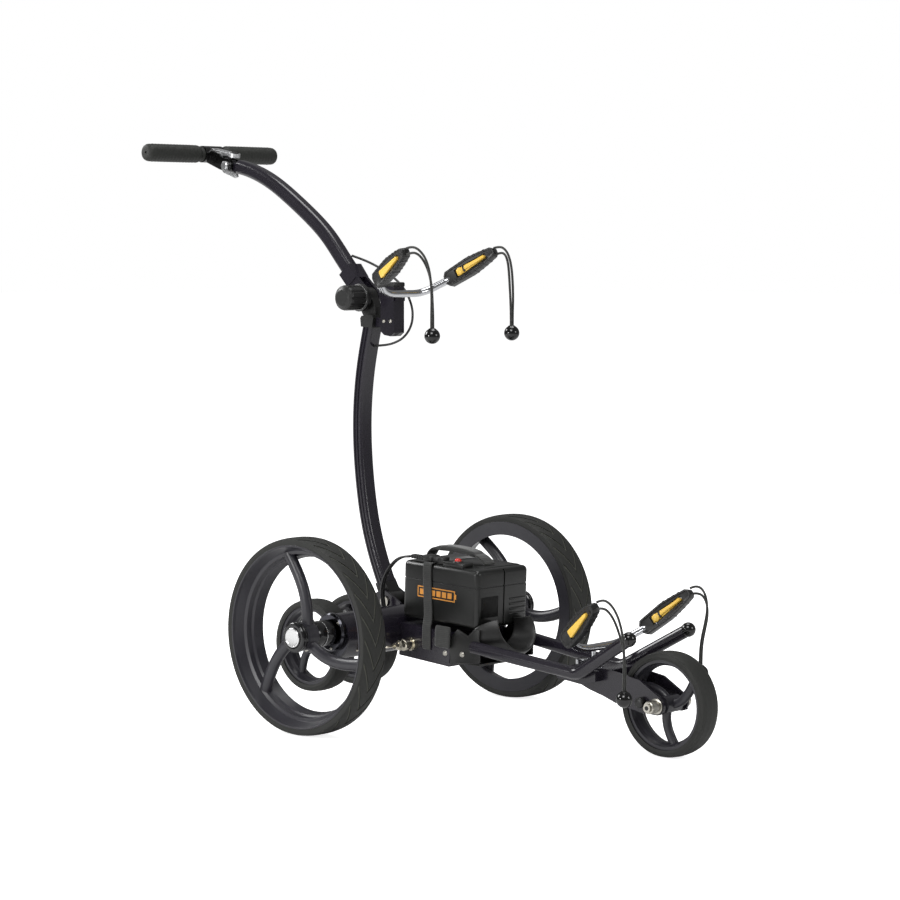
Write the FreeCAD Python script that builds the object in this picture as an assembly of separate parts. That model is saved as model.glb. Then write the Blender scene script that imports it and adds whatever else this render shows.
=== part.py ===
"""Electric golf trolley: three-wheeled, battery driven, folding, with bag brackets and bungee loops.

Axle frame used while modelling (millimetres): +X the way the trolley rolls, +Y its left side,
+Z up, origin on the ground below the middle of the drive axle.  write() shifts every piece back
by ORIGIN_AHEAD so that the stored origin is the middle of the trolley's footprint.
"""
import FreeCAD
import Part
import math
import os

V = FreeCAD.Vector
Y_AXIS = V(0, 1, 0)
SIDES = (("right", -1), ("left", 1))

# ---- driving dimensions -------------------------------------------------------------------
ORIGIN_AHEAD = 55.55         # footprint middle ahead of the drive axle

DRIVE_R = 157.5              # 12.4 in drive wheels
DRIVE_Y = 248.0              # wheel centre plane from the trolley's middle
DRIVE_HALF_W = 25.0
AXLE_Z = DRIVE_R

FRONT_X = 538.6
FRONT_R = 81.0
FRONT_HALF_W = 19.0
FORK_IN = 27.0               # inner faces of the fork plates
FORK_PLATE = 4.0

ANTITIP_X = -180.5
ANTITIP_Z = 103.6
ANTITIP_R = 78.0
ANTITIP_Y = 52.0
ANTITIP_HALF_W = 20.0

HOUSING_R = 36.5             # axle housing tube
HOUSING_Z = 149.5
HOUSING_HALF_L = 186.0
HOUSING_WALL = 3.0

BOX_HALF_W = 66.0            # frame box under the battery
BOX_LENGTH = 112.0
BOX_HEIGHT = 54.0
BOX_SLOPE = 4.2              # degrees, nose down
SHEET = 3.0

BATTERY_L = 164.0
BATTERY_HALF_W = 61.0
BATTERY_H = 95.0
BATTERY_SLOPE = 2.2
BATTERY_CORNER = V(32.0, 0, 171.5)   # rear lower edge

FOOT_PIVOT = V(-48.0, 0, 186.0)      # lower fold hinge
FOLD_PIVOT = V(-106.0, 0, 688.0)     # upper fold hinge, knob axis
TILT_PIVOT = V(-438.0, 0, 912.0)     # grip angle hinge

SHAFT_DEEP = 21.0
SHAFT_WIDE = 29.0
HANDLE_DEEP = 24.0
HANDLE_WIDE = 25.0

PILLAR_X = (-64.0, -33.0)
PILLAR_HALF_W = 12.0
PILLAR_Z = (627.0, 712.0)

BRACKET_ROD_R = 6.0
HOLDER_LENGTH = 92.0
HOLDER_DEEP = 27.0
HOLDER_THICK = 15.0
LEVER_PIN = (21.5, 3.5)      # lever's hinge pin: along the holder, and out towards its face

HORN_R = 10.0
HORN_BALL_R = 11.5
BUNGEE_D = 4.0
BUNGEE_BALL_R = 12.5
CABLE_D = 4.0
LEAD_D = 4.0

GRIP_R = 15.5
GRIP_AXIS = V(-493.0, 0, 933.0)
GRIP_IN, GRIP_OUT = 22.0, 149.0

RUN = 0.05                   # radial clearance of a running fit
GAP = 0.4                    # side clearance between bodies


# ---- small makers -------------------------------------------------------------------------
def box(x, y, z):
    """Block between two X, two Y and two Z values."""
    return Part.makeBox(x[1] - x[0], y[1] - y[0], z[1] - z[0], V(x[0], y[0], z[0]))


def rod_y(x, z, r, y0, y1):
    """Cylinder along Y."""
    return Part.makeCylinder(r, y1 - y0, V(x, y0, z), Y_AXIS)


def rod(start, end, r):
    """Cylinder between two points."""
    return Part.makeCylinder(r, (end - start).Length, start, end - start)


def plate(outline, y0, y1):
    """Plate with an (x, z) outline, between two Y values."""
    points = [V(x, y0, z) for x, z in outline]
    face = Part.Face(Part.makePolygon(points + [points[0]]))
    return face.extrude(V(0, y1 - y0, 0))


def turned(profile, centre, side=1):
    """Solid of revolution about a Y axis through centre; profile is (radius, y) pairs."""
    points = [V(r, side * y, 0) for r, y in profile]
    face = Part.Face(Part.makePolygon(points + [points[0]]))
    solid = face.revolve(V(0, 0, 0), Y_AXIS, 360)
    solid.translate(centre)
    return solid


def rounded(width, depth, corner, grooves=()):
    """Closed rounded-rectangle wire in the X-Y plane, X deep and Y wide, with side grooves."""
    a, b = depth / 2, width / 2
    edges = []

    def line(p, q):
        edges.append(Part.makeLine(V(*p, 0), V(*q, 0)))

    def arc(cx, cy, start):
        edges.append(Part.makeCircle(corner, V(cx, cy, 0), V(0, 0, 1), start, start + 90))

    def side_face(y, x_start, x_end):
        """One side face, with each groove as a notch 1.2 deep and 2.4 wide."""
        way = 1 if x_end > x_start else -1
        inward = -1.2 if y > 0 else 1.2
        at = x_start
        for middle in sorted(grooves, reverse=way < 0):
            first, last = middle - way * 1.2, middle + way * 1.2
            line((at, y), (first, y))
            line((first, y), (first, y + inward))
            line((first, y + inward), (last, y + inward))
            line((last, y + inward), (last, y))
            at = last
        line((at, y), (x_end, y))

    side_face(-b, -a + corner, a - corner)
    arc(a - corner, -b + corner, 270)
    line((a, -b + corner), (a, b - corner))
    arc(a - corner, b - corner, 0)
    side_face(b, a - corner, -a + corner)
    arc(-a + corner, b - corner, 90)
    line((-a, b - corner), (-a, -b + corner))
    arc(-a + corner, -b + corner, 180)
    return Part.Wire(Part.__sortEdges__(edges))


def swept(points, section):
    """Section (drawn in the X-Y plane) carried along a smooth curve in the X-Z plane."""
    curve = Part.BSplineCurve()
    curve.interpolate([V(x, 0, z) for x, z in points])
    start = curve.value(curve.FirstParameter)
    way = curve.tangent(curve.FirstParameter)[0]
    placed = section.copy()
    tilt = math.degrees(math.atan2(way.x, way.z))
    placed.Placement = FreeCAD.Placement(start, FreeCAD.Rotation(Y_AXIS, tilt))
    path = Part.Wire([curve.toShape()])
    return path.makePipeShell([placed], True, False)


def bent_wire(points, radius=None, label=""):
    """Straight runs joined by tangent arcs; the radius fits the shorter run unless given."""
    edges = []
    here = points[0]
    radii = []
    for before, corner, after in zip(points, points[1:], points[2:]):
        a, b = before - corner, after - corner
        half_turn = (math.pi - a.getAngle(b)) / 2
        shorter = min(a.Length, b.Length)
        r = radius or 0.45 * shorter / math.tan(half_turn)
        radii.append(r)
        back = r * math.tan(half_turn)
        a.normalize()
        b.normalize()
        first, last = corner + a * back, corner + b * back
        middle_way = a + b
        middle_way.normalize()
        middle = corner + middle_way * (r / math.cos(half_turn) - r)
        if (first - here).Length > 1e-6:
            edges.append(Part.makeLine(here, first))
        edges.append(Part.Arc(first, middle, last).toShape())
        here = last
    edges.append(Part.makeLine(here, points[-1]))
    if label:
        print(label, "radii", [round(r, 1) for r in radii])
    return Part.Wire(edges)


def tube_along(wire, r):
    """Round solid along a bent wire."""
    first = wire.Edges[0]
    way = first.tangentAt(first.FirstParameter)
    start = first.valueAt(first.FirstParameter)
    section = Part.Wire([Part.makeCircle(r, start, way)])
    return wire.makePipeShell([section], True, False)


def cord(points, diameter, label):
    """Cord solid along hand-chosen route points."""
    wire = bent_wire([V(*p) for p in points], label=label)
    solid = tube_along(wire, diameter / 2)
    expected = math.pi * diameter ** 2 / 4 * wire.Length
    print(label, "length", round(wire.Length, 1), "volume ratio", round(solid.Volume / expected, 3))
    return solid


def local(shape, corner, slope):
    """Places a shape drawn from its rear lower edge onto the sloping frame."""
    moved = shape.copy()
    slant = FreeCAD.Placement(corner, FreeCAD.Rotation(Y_AXIS, slope))
    moved.Placement = slant.multiply(moved.Placement)
    return moved


def joined(*shapes):
    """One solid from touching shapes."""
    whole = shapes[0].fuse(list(shapes[1:])) if len(shapes) > 1 else shapes[0]
    return whole.removeSplitter()


def largest(shape):
    """The main solid of a shape, without loose slivers."""
    return max(shape.Solids, key=lambda solid: solid.Volume)


def mirrored(shape):
    """The same piece on the other side of the trolley."""
    return shape.mirror(V(0, 0, 0), Y_AXIS)


def write(name, *solids):
    """Saves one node; several solids in a node are like pieces or one group of fasteners."""
    shape = solids[0] if len(solids) == 1 else Part.makeCompound(list(solids))
    shape = shape.copy()
    shape.translate(V(-ORIGIN_AHEAD, 0, 0))
    shape.exportStep("parts/" + name + ".step")


# ---- wheels -------------------------------------------------------------------------------
def spoke(hub_r, rim_r, rim_angle, sweep, wide, thick, y):
    """One curved spoke from hub to rim in the plane of the wheel, oval in section."""
    points = []
    steps = 4
    for i in range(steps + 1):
        part = i / steps
        r = hub_r + (rim_r - hub_r) * part
        angle = math.radians(rim_angle - sweep * (1 - part) ** 1.2)
        points.append(V(r * math.cos(angle), y, r * math.sin(angle)))
    curve = Part.BSplineCurve()
    curve.interpolate(points)
    way = curve.tangent(curve.FirstParameter)[0]
    flat = V(-way.z, 0, way.x)
    oval = Part.Ellipse(points[0] + flat * (wide / 2), points[0] + Y_AXIS * (thick / 2), points[0])
    section = Part.Wire([oval.toShape()])
    return Part.Wire([curve.toShape()]).makePipeShell([section], True, False)


def drive_rim(side, rim_angle):
    """Moulded rim of a drive wheel: stepped barrel, three curved spokes and a hub boss."""
    barrel = [(146, 24.5), (143.5, 24.5), (142, 20), (136, 7), (131, 5), (130, -4), (127, -7),
              (123.5, -24), (146, -24.5)]
    rim = turned(barrel, V(0, 0, 0))
    boss = turned([(16, 14), (21.5, 14), (23, 10), (23, -9), (21.5, -11), (16, -11)], V(0, 0, 0))
    arms = [spoke(19.0, 134.0, rim_angle + 120 * i, 29, 20, 17, 0) for i in range(3)]
    inside = rod_y(0, 0, 16, -40, 40)
    keep = turned([(0, 24), (145, 24), (145, -24), (0, -24)], V(0, 0, 0))
    arms = [arm.cut(inside).common(keep) for arm in arms]
    wheel = joined(rim, boss, *arms)
    wheel = wheel if side > 0 else mirrored(wheel)
    wheel.translate(V(0, side * DRIVE_Y, AXLE_Z))
    return wheel


def drive_tyre(side):
    """Solid rubber tyre with a slightly crowned tread."""
    w = DRIVE_HALF_W
    profile = [(146.05, w - 1), (151, w), (155.3, w - 0.5), (156.9, w * 0.55), (DRIVE_R, 0),
               (156.9, -w * 0.55), (155.3, 0.5 - w), (151, -w), (146.05, 1 - w)]
    return turned(profile, V(0, side * DRIVE_Y, AXLE_Z))


def drive_hub(side):
    """Metal hub with its quick-release cap outside and the stub axle that enters the motor."""
    centre = V(0, side * DRIVE_Y, AXLE_Z)
    profile = [(0, 29.6), (13, 29.6), (14.5, 28.2), (14.5, 27), (22, 27), (24, 25), (24, 16.5),
               (21, 14.1), (16, 14.1), (16, -11.1), (21, -11.1), (21, -49), (6, -49),
               (6, -92), (0, -92)]
    return turned(profile, centre, side)


def small_rim(r_out, half_w, hub_r, bore_r, rim_angle, spoke_wide):
    """Three-spoke rim of a small wheel, centred on the origin."""
    rim = turned([(r_out, half_w), (r_out - 5, half_w), (r_out - 7, half_w - 7), (r_out - 10, 4),
                  (r_out - 10, -4), (r_out - 7, 7 - half_w), (r_out - 5, -half_w),
                  (r_out, -half_w)], V(0, 0, 0))
    boss = turned([(bore_r, half_w + 2), (hub_r, half_w + 2), (hub_r, -half_w - 2),
                   (bore_r, -half_w - 2)], V(0, 0, 0))
    inside = rod_y(0, 0, bore_r, -40, 40)
    arms = [spoke(hub_r - 3, r_out - 6, rim_angle + 120 * i, 32, spoke_wide, 13, 0)
            for i in range(3)]
    return joined(rim, boss, *[arm.cut(inside) for arm in arms])


def small_tyre(r_in, r_out, half_w):
    """Smooth tyre of a small wheel, centred on the origin."""
    return turned([(r_in, half_w), (r_in + 4, half_w + 1), (r_out - 2.2, half_w),
                   (r_out - 0.6, half_w * 0.6), (r_out, 0), (r_out - 0.6, -half_w * 0.6),
                   (r_out - 2.2, -half_w), (r_in + 4, -half_w - 1), (r_in, -half_w)], V(0, 0, 0))


def wheels():
    for name, side in SIDES:
        write(name + "_rim", drive_rim(side, 106 if side < 0 else 124))
        write(name + "_tyre", drive_tyre(side))
        write(name + "_hub", drive_hub(side))

    centre = V(FRONT_X, 0, FRONT_R)
    rim = small_rim(69, 16, 13, 5 + RUN, 40, 15)
    tyre = small_tyre(69.05, FRONT_R, FRONT_HALF_W - 1)
    for name, shape in (("front_rim", rim), ("front_tyre", tyre)):
        shape.translate(centre)
        write(name, shape)
    write("front_axle", *front_spindle(FORK_IN - 7))

    rims, tyres = [], []
    for name, side in SIDES:
        place = V(ANTITIP_X, side * ANTITIP_Y, ANTITIP_Z)
        rim = small_rim(66, 17, 12, 5 + RUN, 118, 14)
        tyre = small_tyre(66.05, ANTITIP_R, ANTITIP_HALF_W - 1)
        rim.translate(place)
        tyre.translate(place)
        rims.append(rim)
        tyres.append(tyre)
    write("antitip_rims", *rims)
    write("antitip_tyres", *tyres)


def front_spindle(face):
    """Front axle bolt with the spacers, knurled nut, far knob and the tracking adjuster."""
    x, z = FRONT_X, FRONT_R
    outer = FORK_IN + FORK_PLATE
    bolt = joined(rod_y(x, z, 5, -outer - 24, outer + 12), rod_y(x, z, 6.5, -outer - 24.5, -outer - 22))
    spacers = [turned([(5, face), (8, face), (8, FORK_IN), (5, FORK_IN)], V(x, 0, z), s)
               for s in (-1, 1)]
    nut = turned([(5, outer), (12, outer), (12, outer + 2), (8, outer + 3), (9.5, outer + 4),
                  (9.5, outer + 20), (8.5, outer + 21), (5, outer + 21)], V(x, 0, z), -1)
    knob = turned([(5, outer), (9, outer), (10, outer + 3), (8, outer + 13), (5, outer + 15)],
                  V(x, 0, z), 1)
    adjusters = [turned([(0, outer), (7, outer), (7.5, outer + 2), (7.5, outer + 8), (5, outer + 10),
                         (0, outer + 10)], V(x - 28, 0, z + 3), s) for s in (-1, 1)]
    return [bolt, *spacers, nut, knob, *adjusters]


# ---- axle, motors and rear stand ----------------------------------------------------------
def axle_and_motors():
    tube = rod_y(0, HOUSING_Z, HOUSING_R, -HOUSING_HALF_L, HOUSING_HALF_L)
    tube = tube.cut(rod_y(0, HOUSING_Z, HOUSING_R - HOUSING_WALL, -400, 400))
    write("axle_housing", tube)

    motors, gearboxes = [], []
    for name, side in SIDES:
        end = HOUSING_HALF_L
        flange = turned([(6 + RUN, end), (31, end), (31, end + 6), (28, end + 9), (6 + RUN, end + 9)],
                        V(0, 0, AXLE_Z), side)
        y0, y1 = sorted((side * end, side * (end - 38)))
        gear = rod_y(0, HOUSING_Z, HOUSING_R - HOUSING_WALL - 0.3, y0, y1)
        gear = gear.cut(rod_y(0, AXLE_Z, 6 + RUN, -400, 400))
        y0, y1 = sorted((side * (end - 38), side * (end - 122)))
        motors.append(rod_y(0, HOUSING_Z, HOUSING_R - HOUSING_WALL - 0.5, y0, y1))
        gearboxes.append(joined(gear, flange))
    write("geared_motors", *motors, *gearboxes)

    arm_outline = [(-20, 143), (-37, 142), (ANTITIP_X - 12, 116), (ANTITIP_X - 14, 98),
                   (ANTITIP_X - 4, 91), (-60, 108), (-20, 118)]
    arm = plate(arm_outline, -24, 24)
    arm = arm.cut(plate([(-48, 200), (-300, 200), (-300, 60), (-48, 60)], -19, 19))
    arm = joined(arm, rod_y(ANTITIP_X, ANTITIP_Z, 12, -26, 26))
    arm = arm.cut(rod_y(0, HOUSING_Z, HOUSING_R, -60, 60))
    arm = arm.cut(rod_y(ANTITIP_X, ANTITIP_Z, 5, -60, 60))
    write("antitip_arm", arm)

    reach = ANTITIP_Y + ANTITIP_HALF_W + 3
    axle = rod_y(ANTITIP_X, ANTITIP_Z, 5, -reach, reach)
    nuts = [turned([(5, reach - 4), (9, reach - 4), (9, reach - 1), (5, reach)],
                   V(ANTITIP_X, 0, ANTITIP_Z), s) for s in (-1, 1)]
    write("antitip_axle", axle, *nuts)


# ---- frame box, controller, saddle and horns ----------------------------------------------
def frame_box():
    corner = V(30, 0, 110.5)
    shell = box((0, BOX_LENGTH), (-BOX_HALF_W, BOX_HALF_W), (0, BOX_HEIGHT))
    inner = box((10, BOX_LENGTH - SHEET), (SHEET - BOX_HALF_W, BOX_HALF_W - SHEET),
                (SHEET, BOX_HEIGHT - SHEET))
    port = Part.makeCylinder(8, 20, V(30, -BOX_HALF_W - 5, 24), Y_AXIS)
    shell = local(shell.cut(inner).cut(port), corner, BOX_SLOPE)
    shell = shell.cut(rod_y(0, HOUSING_Z, HOUSING_R, -100, 100))
    write("frame_box", shell)
    board = local(box((16, BOX_LENGTH - 8), (-52, 52), (SHEET, 30)), corner, BOX_SLOPE)
    write("speed_controller", board)
    write("cable_connector", *connector(corner))


MOTOR_LEAD_ROUTE = [(61, -110, 132.3), (61, -126, 132.3), (54, -142, 131.5), (42, -155, 130),
                    (26, -163, 128)]


def connector(corner):
    """Round screw-ring connector standing out of the box's right side, with its lead."""
    steps = [(0, 4), (7.9, 4), (7.9, 0), (11, 0), (11, -7), (8.5, -7), (8.5, -13), (9.5, -13),
             (9.5, -24), (8.2, -26), (8.2, -33), (5, -35), (5, -44), (0, -44)]
    body = turned(steps, V(0, 0, 0))
    body.translate(V(30, -BOX_HALF_W, 24))
    body = local(body, corner, BOX_SLOPE)
    lead = cord(MOTOR_LEAD_ROUTE, LEAD_D, "motor lead")
    lead = lead.cut(rod_y(0, HOUSING_Z, HOUSING_R, -200, 200))
    return [body, largest(lead)]


def saddle():
    """Black moulded saddle: cheeks beside the battery, two lobes and a scooped front."""
    cheeks = plate([(143, 107), (143, 149), (160, 165), (182, 156), (198, 166), (198, 113)],
                   -BOX_HALF_W, BOX_HALF_W)
    sections = []
    for x, half, low, high in ((198, 64, 113, 178), (214, 57, 117, 184), (232, 45, 124, 172),
                               (243, 40, 130, 158)):
        wire = rounded(2 * half, high - low, 12)
        wire.Placement = FreeCAD.Placement(V(x, 0, (low + high) / 2),
                                           FreeCAD.Rotation(Y_AXIS, 90))
        sections.append(wire)
    nose = Part.makeLoft(sections, True, False)
    body = joined(cheeks, nose)
    scoop = Part.makeCylinder(32, 120, V(180, 0, 158), V(1, 0, -0.05))
    above = plate([(180, 158), (300, 152), (300, 240), (180, 240)], -32, 32)
    body = body.cut(scoop).cut(above)
    pocket = box((-0.5, BATTERY_L + 0.8), (-BATTERY_HALF_W - 0.5, BATTERY_HALF_W + 0.5), (-0.6, 100))
    body = body.cut(local(pocket, BATTERY_CORNER, BATTERY_SLOPE))
    body = body.cut(local(box((0, BOX_LENGTH + 0.05), (-70, 70), (-5, 80)), V(30, 0, 110.5), BOX_SLOPE))
    for side in (-1, 1):
        body = body.cut(rod(horn_point(0, side), horn_point(1, side), HORN_R))
    write("front_saddle", *body.Solids)


def horn_point(index, side):
    """Route of a bag-bottom arm: saddle socket, elbow, ball."""
    x, y, z = ((197, 69.8, 140), (401, 54, 118), (514, 71.5, 183))[index]
    return V(x, side * y, z)


def horns():
    tube = horn_tube()
    end, elbow = horn_point(2, 1), horn_point(1, 1)
    way = end - elbow
    way.normalize()
    ball = Part.makeSphere(HORN_BALL_R, end + way * 4, way).cut(rod(end, elbow, HORN_R))
    write("horn_tubes", mirrored(tube), tube)
    write("horn_end_balls", mirrored(ball), ball)


def horn_tube():
    """The left arm of the pair."""
    return tube_along(bent_wire([horn_point(i, 1) for i in range(3)], radius=26), HORN_R)


def yoke():
    """Pressed front yoke: crossmember under the arms, box body and two fork plates."""
    outer = FORK_IN + FORK_PLATE
    sides = plate([(372, 104), (376, 122), (440, 127), (505, 117), (545, 94), (550, 70), (538, 67),
                   (508, 68), (457, 77), (433, 85), (405, 92)], -outer, outer)
    tip = rod_y(FRONT_X, FRONT_R, 14, -outer, outer)
    cross = plate([(352, 106), (354, 122), (374, 124), (430, 124), (430, 108), (400, 101)], -46, 46)
    body = joined(sides, tip, cross)
    body = body.cut(box((446, 640), (-FORK_IN, FORK_IN), (40, 200)))
    body = body.cut(rod_y(FRONT_X, FRONT_R, FRONT_R + 5, -FORK_IN, FORK_IN))
    hollow = plate([(366, 98), (366, 118), (444, 120), (444, 70)], -FORK_IN, FORK_IN)
    body = body.cut(hollow)
    body = body.cut(rod_y(FRONT_X, FRONT_R, 5, -60, 60))
    tube = horn_tube()
    body = body.cut(tube).cut(mirrored(tube))
    for side in (-1, 1):
        body = body.cut(Part.makeCylinder(3.5, 20, V(396, side * 10, 112), V(0, 0, 1)))
    body = body.cut(Part.makeCylinder(4 + RUN, 30, V(366, 0, 100), V(0, 0, 1)))
    write("front_yoke", largest(body))


def bracket_knob():
    """Chromed thumb knob on the yoke that clamps the lower bag bracket."""
    stem = Part.makeCylinder(4, 19, V(366, 0, 106), V(0, 0, 1))
    head = Part.makeCylinder(11, 7, V(366, 0, 124.3), V(0, 0, 1))
    head = head.cut(Part.makeCylinder(9, 2, V(366, 0, 130), V(0, 0, 1)))
    dome = Part.makeCone(9, 5, 4, V(366, 0, 129), V(0, 0, 1))
    write("bracket_knob", joined(stem, head, dome))


def fasteners():
    """Round-head screws of the frame, all alike: shank and domed head, along Y."""
    screws = []
    for x, z, y in ((132.9, 123.3, BOX_HALF_W), (170.0, 125.0, BOX_HALF_W)):
        for side in (-1, 1):
            screws.append(turned([(0, y + 2.4), (3, y + 2.2), (4.6, y), (0, y)], V(x, 0, z), side))
    write("frame_screws", *screws)


# ---- lower hinge and main shaft -----------------------------------------------------------
def shaft_line():
    """Side-view line of the main shaft from its foot to its top."""
    return [(-63, 214), (-81, 254), (-97, 300), (-109, 355), (-116.5, 415), (-119, 470),
            (-116.5, 525), (-109.5, 575), (-99, 622), (-92, 650)]


def shaft_pieces():
    wire = rounded(SHAFT_WIDE, SHAFT_DEEP, 5, (-3.2, 3.2))
    shaft = swept(shaft_line(), wire)
    hole = Part.makeCylinder(CABLE_D / 2, 8, V(-96.5, 0, 608), V(1, 0, 0))
    write("main_shaft", shaft.cut(hole))

    x, z = FOOT_PIVOT.x, FOOT_PIVOT.z
    half = SHAFT_WIDE / 2
    eye = rod_y(x, z, 16, -half, half)
    block = plate([(-40, 196), (-56, 222), (-76, 213), (-64, 188)], -half + 1, half - 1)
    foot = joined(eye, block).cut(shaft).cut(rod_y(x, z, 6 + RUN, -40, 40))
    write("shaft_foot", largest(foot))
    write("lower_hinge_pin", lower_pin(x, z))

    inner = half + GAP
    outline = [(-70, 198), (-54, 207), (-14, 187), (2, 150), (-34, 146), (-66, 178)]
    plates = []
    for side in (-1, 1):
        y0, y1 = sorted((side * inner, side * (inner + 4)))
        cheek = plate(outline, y0, y1).cut(rod_y(x, z, 6, -40, 40))
        plates.append(cheek.cut(rod_y(0, HOUSING_Z, HOUSING_R, -60, 60)))
    stop = plate([(-68, 186), (-76, 196), (-80, 190), (-72, 180)], -inner, inner)
    write("hinge_gussets", *plates, stop_block(stop, plates))


def stop_block(stop, plates):
    """Cross bar behind the foot that the upright shaft leans on."""
    for cheek in plates:
        stop = stop.cut(cheek)
    return stop


def lower_pin(x, z):
    """Headed hinge pin through both gussets and the foot."""
    outer = SHAFT_WIDE / 2 + GAP + 4
    return joined(rod_y(x, z, 6, -outer, outer), rod_y(x, z, 9, -outer - 3, -outer),
                  rod_y(x, z, 9, outer, outer + 3))


def shaft_joint():
    """Black knuckle on top of the shaft: plug, offset neck and the eye on the knob axis."""
    x, z = FOLD_PIVOT.x, FOLD_PIVOT.z
    eye = rod_y(x, z, 17, -8, 8)
    neck = plate([(-112, 690), (-112, 664), (-104, 652), (-80, 652), (-80, 672), (-92, 694)], -8, 8)
    collar = plate([(-105.5, 640), (-107, 654), (-104, 658), (-80, 660), (-77, 654), (-80, 638)],
                   -16.5, 16.5)
    body = joined(eye, neck, collar)
    body = body.cut(swept(shaft_line(), rounded(SHAFT_WIDE, SHAFT_DEEP, 5)))
    body = body.cut(rod_y(x, z, 5 + RUN, -40, 40))
    write("shaft_joint", largest(body))


def pillar():
    """Square pillar that carries the upper bag bracket, with its arm from the joint."""
    x0, x1 = PILLAR_X
    z0, z1 = PILLAR_Z
    post = plate([(x0, z0 + 6), (x0, z1), (x1, z1), (x1, z0 + 4), (x1 - 8, z0 - 2), (x0 + 8, z0)],
                 -PILLAR_HALF_W, PILLAR_HALF_W)
    arm = plate([(-80.5, 640), (-80, 655), (x0 + 1, 655), (x0 + 1, 640)], -9, 9)
    clamp = box((x1 - 1, x1 + 4), (-10, 10), (683, 699))
    body = joined(post, arm, clamp)
    joint_hole = plate([(-105.5, 640), (-107, 654), (-104, 658), (-80, 660), (-77, 654), (-80, 638)],
                       -16.5, 16.5)
    body = body.cut(joint_hole).cut(upper_rod())
    write("bracket_pillar", largest(body))


# ---- bag brackets, holders and bungees ----------------------------------------------------
UPPER_INNER, UPPER_OUTER = V(5.0, 84.3, 719.5), V(80.6, 104.5, 763.0)
LOWER_INNER, LOWER_OUTER = V(417.3, 94.6, 177.4), V(485.9, 115.9, 235.1)


def holder_frame(inner, outer, side):
    """Axes of a holder: along the arm, across it, and the outward face normal."""
    start = V(inner.x, side * inner.y, inner.z)
    end = V(outer.x, side * outer.y, outer.z)
    along = end - start
    along.normalize()
    up = V(-along.z, 0, along.x)
    up.normalize()
    face = up.cross(along)
    face.normalize()
    return start, along, up, face


def placed(shape, start, along, up, face):
    """Moves a shape drawn with X along, Y face and Z up onto a holder's axes."""
    m = FreeCAD.Matrix(along.x, face.x, up.x, start.x, along.y, face.y, up.y, start.y,
                       along.z, face.z, up.z, start.z, 0, 0, 0, 1)
    return shape.transformGeometry(m)


def arm_rod(inner, outer, middle):
    """Chromed bracket rod: a wide U through both holders and the middle point."""
    points = []
    for side in (-1, 1):
        start, along, up, face = holder_frame(inner, outer, side)
        tip = start + along * 13
        entry = start - along * 4
        shoulder = V(middle.x + (entry.x - middle.x) * 0.18, side * 44, middle.z + (entry.z - middle.z) * 0.16)
        ends = [tip, entry, shoulder]
        points += ends if side < 0 else ends[::-1]
    return tube_along(bent_wire(points, radius=None), BRACKET_ROD_R)


def upper_rod():
    return arm_rod(UPPER_INNER, UPPER_OUTER, V(-26, 0, 691))


def lower_rod():
    return arm_rod(LOWER_INNER, LOWER_OUTER, V(397, 0, 151))


def holder_and_lever(inner, outer, rod_shape):
    """Left strap holder, moulded on the rod's end, with a slot that houses its lever."""
    axes = holder_frame(inner, outer, 1)
    length, deep, thick = HOLDER_LENGTH, HOLDER_DEEP, HOLDER_THICK
    outline = [(-4, -deep / 2), (-8, 0), (-4, deep / 2), (length * 0.45, deep / 2 + 1.5),
               (length, 8), (length + 3, 0), (length, -8), (length * 0.45, -deep / 2 - 1.5)]
    body = plate(outline, -thick / 2, thick / 2)
    slot = plate([(LEVER_PIN[0] - 7, -6.5), (LEVER_PIN[0] - 7, 6.5), (76, 3.6), (76, -3.6)],
                 -thick, thick)
    pin = Part.makeCylinder(1.6, 19, V(LEVER_PIN[0], LEVER_PIN[1], -9.5), V(0, 0, 1))
    pin_hole = Part.makeCylinder(1.6 + RUN, 19.2, V(LEVER_PIN[0], LEVER_PIN[1], -9.6), V(0, 0, 1))
    body = placed(body.cut(slot).cut(pin_hole), *axes).cut(rod_shape)
    taper = plate([(17.5, -5.2), (20, -6), (24, -5.6), (74, -2.4), (75, 0), (74, 2.4), (24, 5.6),
                   (20, 6), (17.5, 5.2)], -thick / 2, thick / 2 + 1.2)
    head = plate([(17.5, -5.2), (20, -6), (31, -5.1), (31, 5.1), (20, 6), (17.5, 5.2)],
                 -thick / 2 - 1.2, -thick / 2)
    return largest(body), placed(joined(taper, head, pin), *axes)


UPPER_RIGHT_A = [(84, -103, 770), (96, -104, 773), (111, -104, 769), (124, -103, 757),
                 (132, -101.8, 739), (136, -101.2, 716), (137, -101, 688), (136.2, -101, 664),
                 (136.2, -101, 644.2)]
UPPER_RIGHT_B = [(88, -106, 760), (99, -106, 764), (112, -105, 761), (122, -102.5, 750),
                 (129, -99, 733), (133.5, -97, 711), (135, -96.7, 685), (136.2, -96.7, 663),
                 (136.2, -96.7, 644.2)]
UPPER_LEFT_A = [(84, 103, 770), (96, 104, 773), (109, 103.5, 768), (119, 102, 756),
                (125.5, 100.5, 738), (129, 99.3, 715), (130.5, 98.8, 688), (129.5, 98.7, 664),
                (129.5, 98.7, 644.2)]
UPPER_LEFT_B = [(88, 106, 760), (98, 106, 763.2), (108, 105, 759), (116, 102, 747),
                (121.5, 98.5, 730), (126, 95.3, 709), (128.5, 94.4, 685), (129.5, 94.4, 663),
                (129.5, 94.4, 644.2)]
LOWER_RIGHT_A = [(489, -113, 243), (500, -113.5, 248), (514, -113.5, 244), (526, -113.5, 232),
                 (535, -113.8, 215), (541, -114, 193), (543.5, -114.5, 166), (543, -114.9, 139),
                 (542.5, -114.9, 114.2)]
LOWER_RIGHT_B = [(494, -116, 234), (505, -116, 236), (516, -115, 229), (524.5, -113.8, 217),
                 (531.5, -112, 200), (537.5, -110.6, 180), (541.5, -110.4, 159),
                 (542.5, -110.6, 136), (542.5, -110.6, 114.2)]
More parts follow.
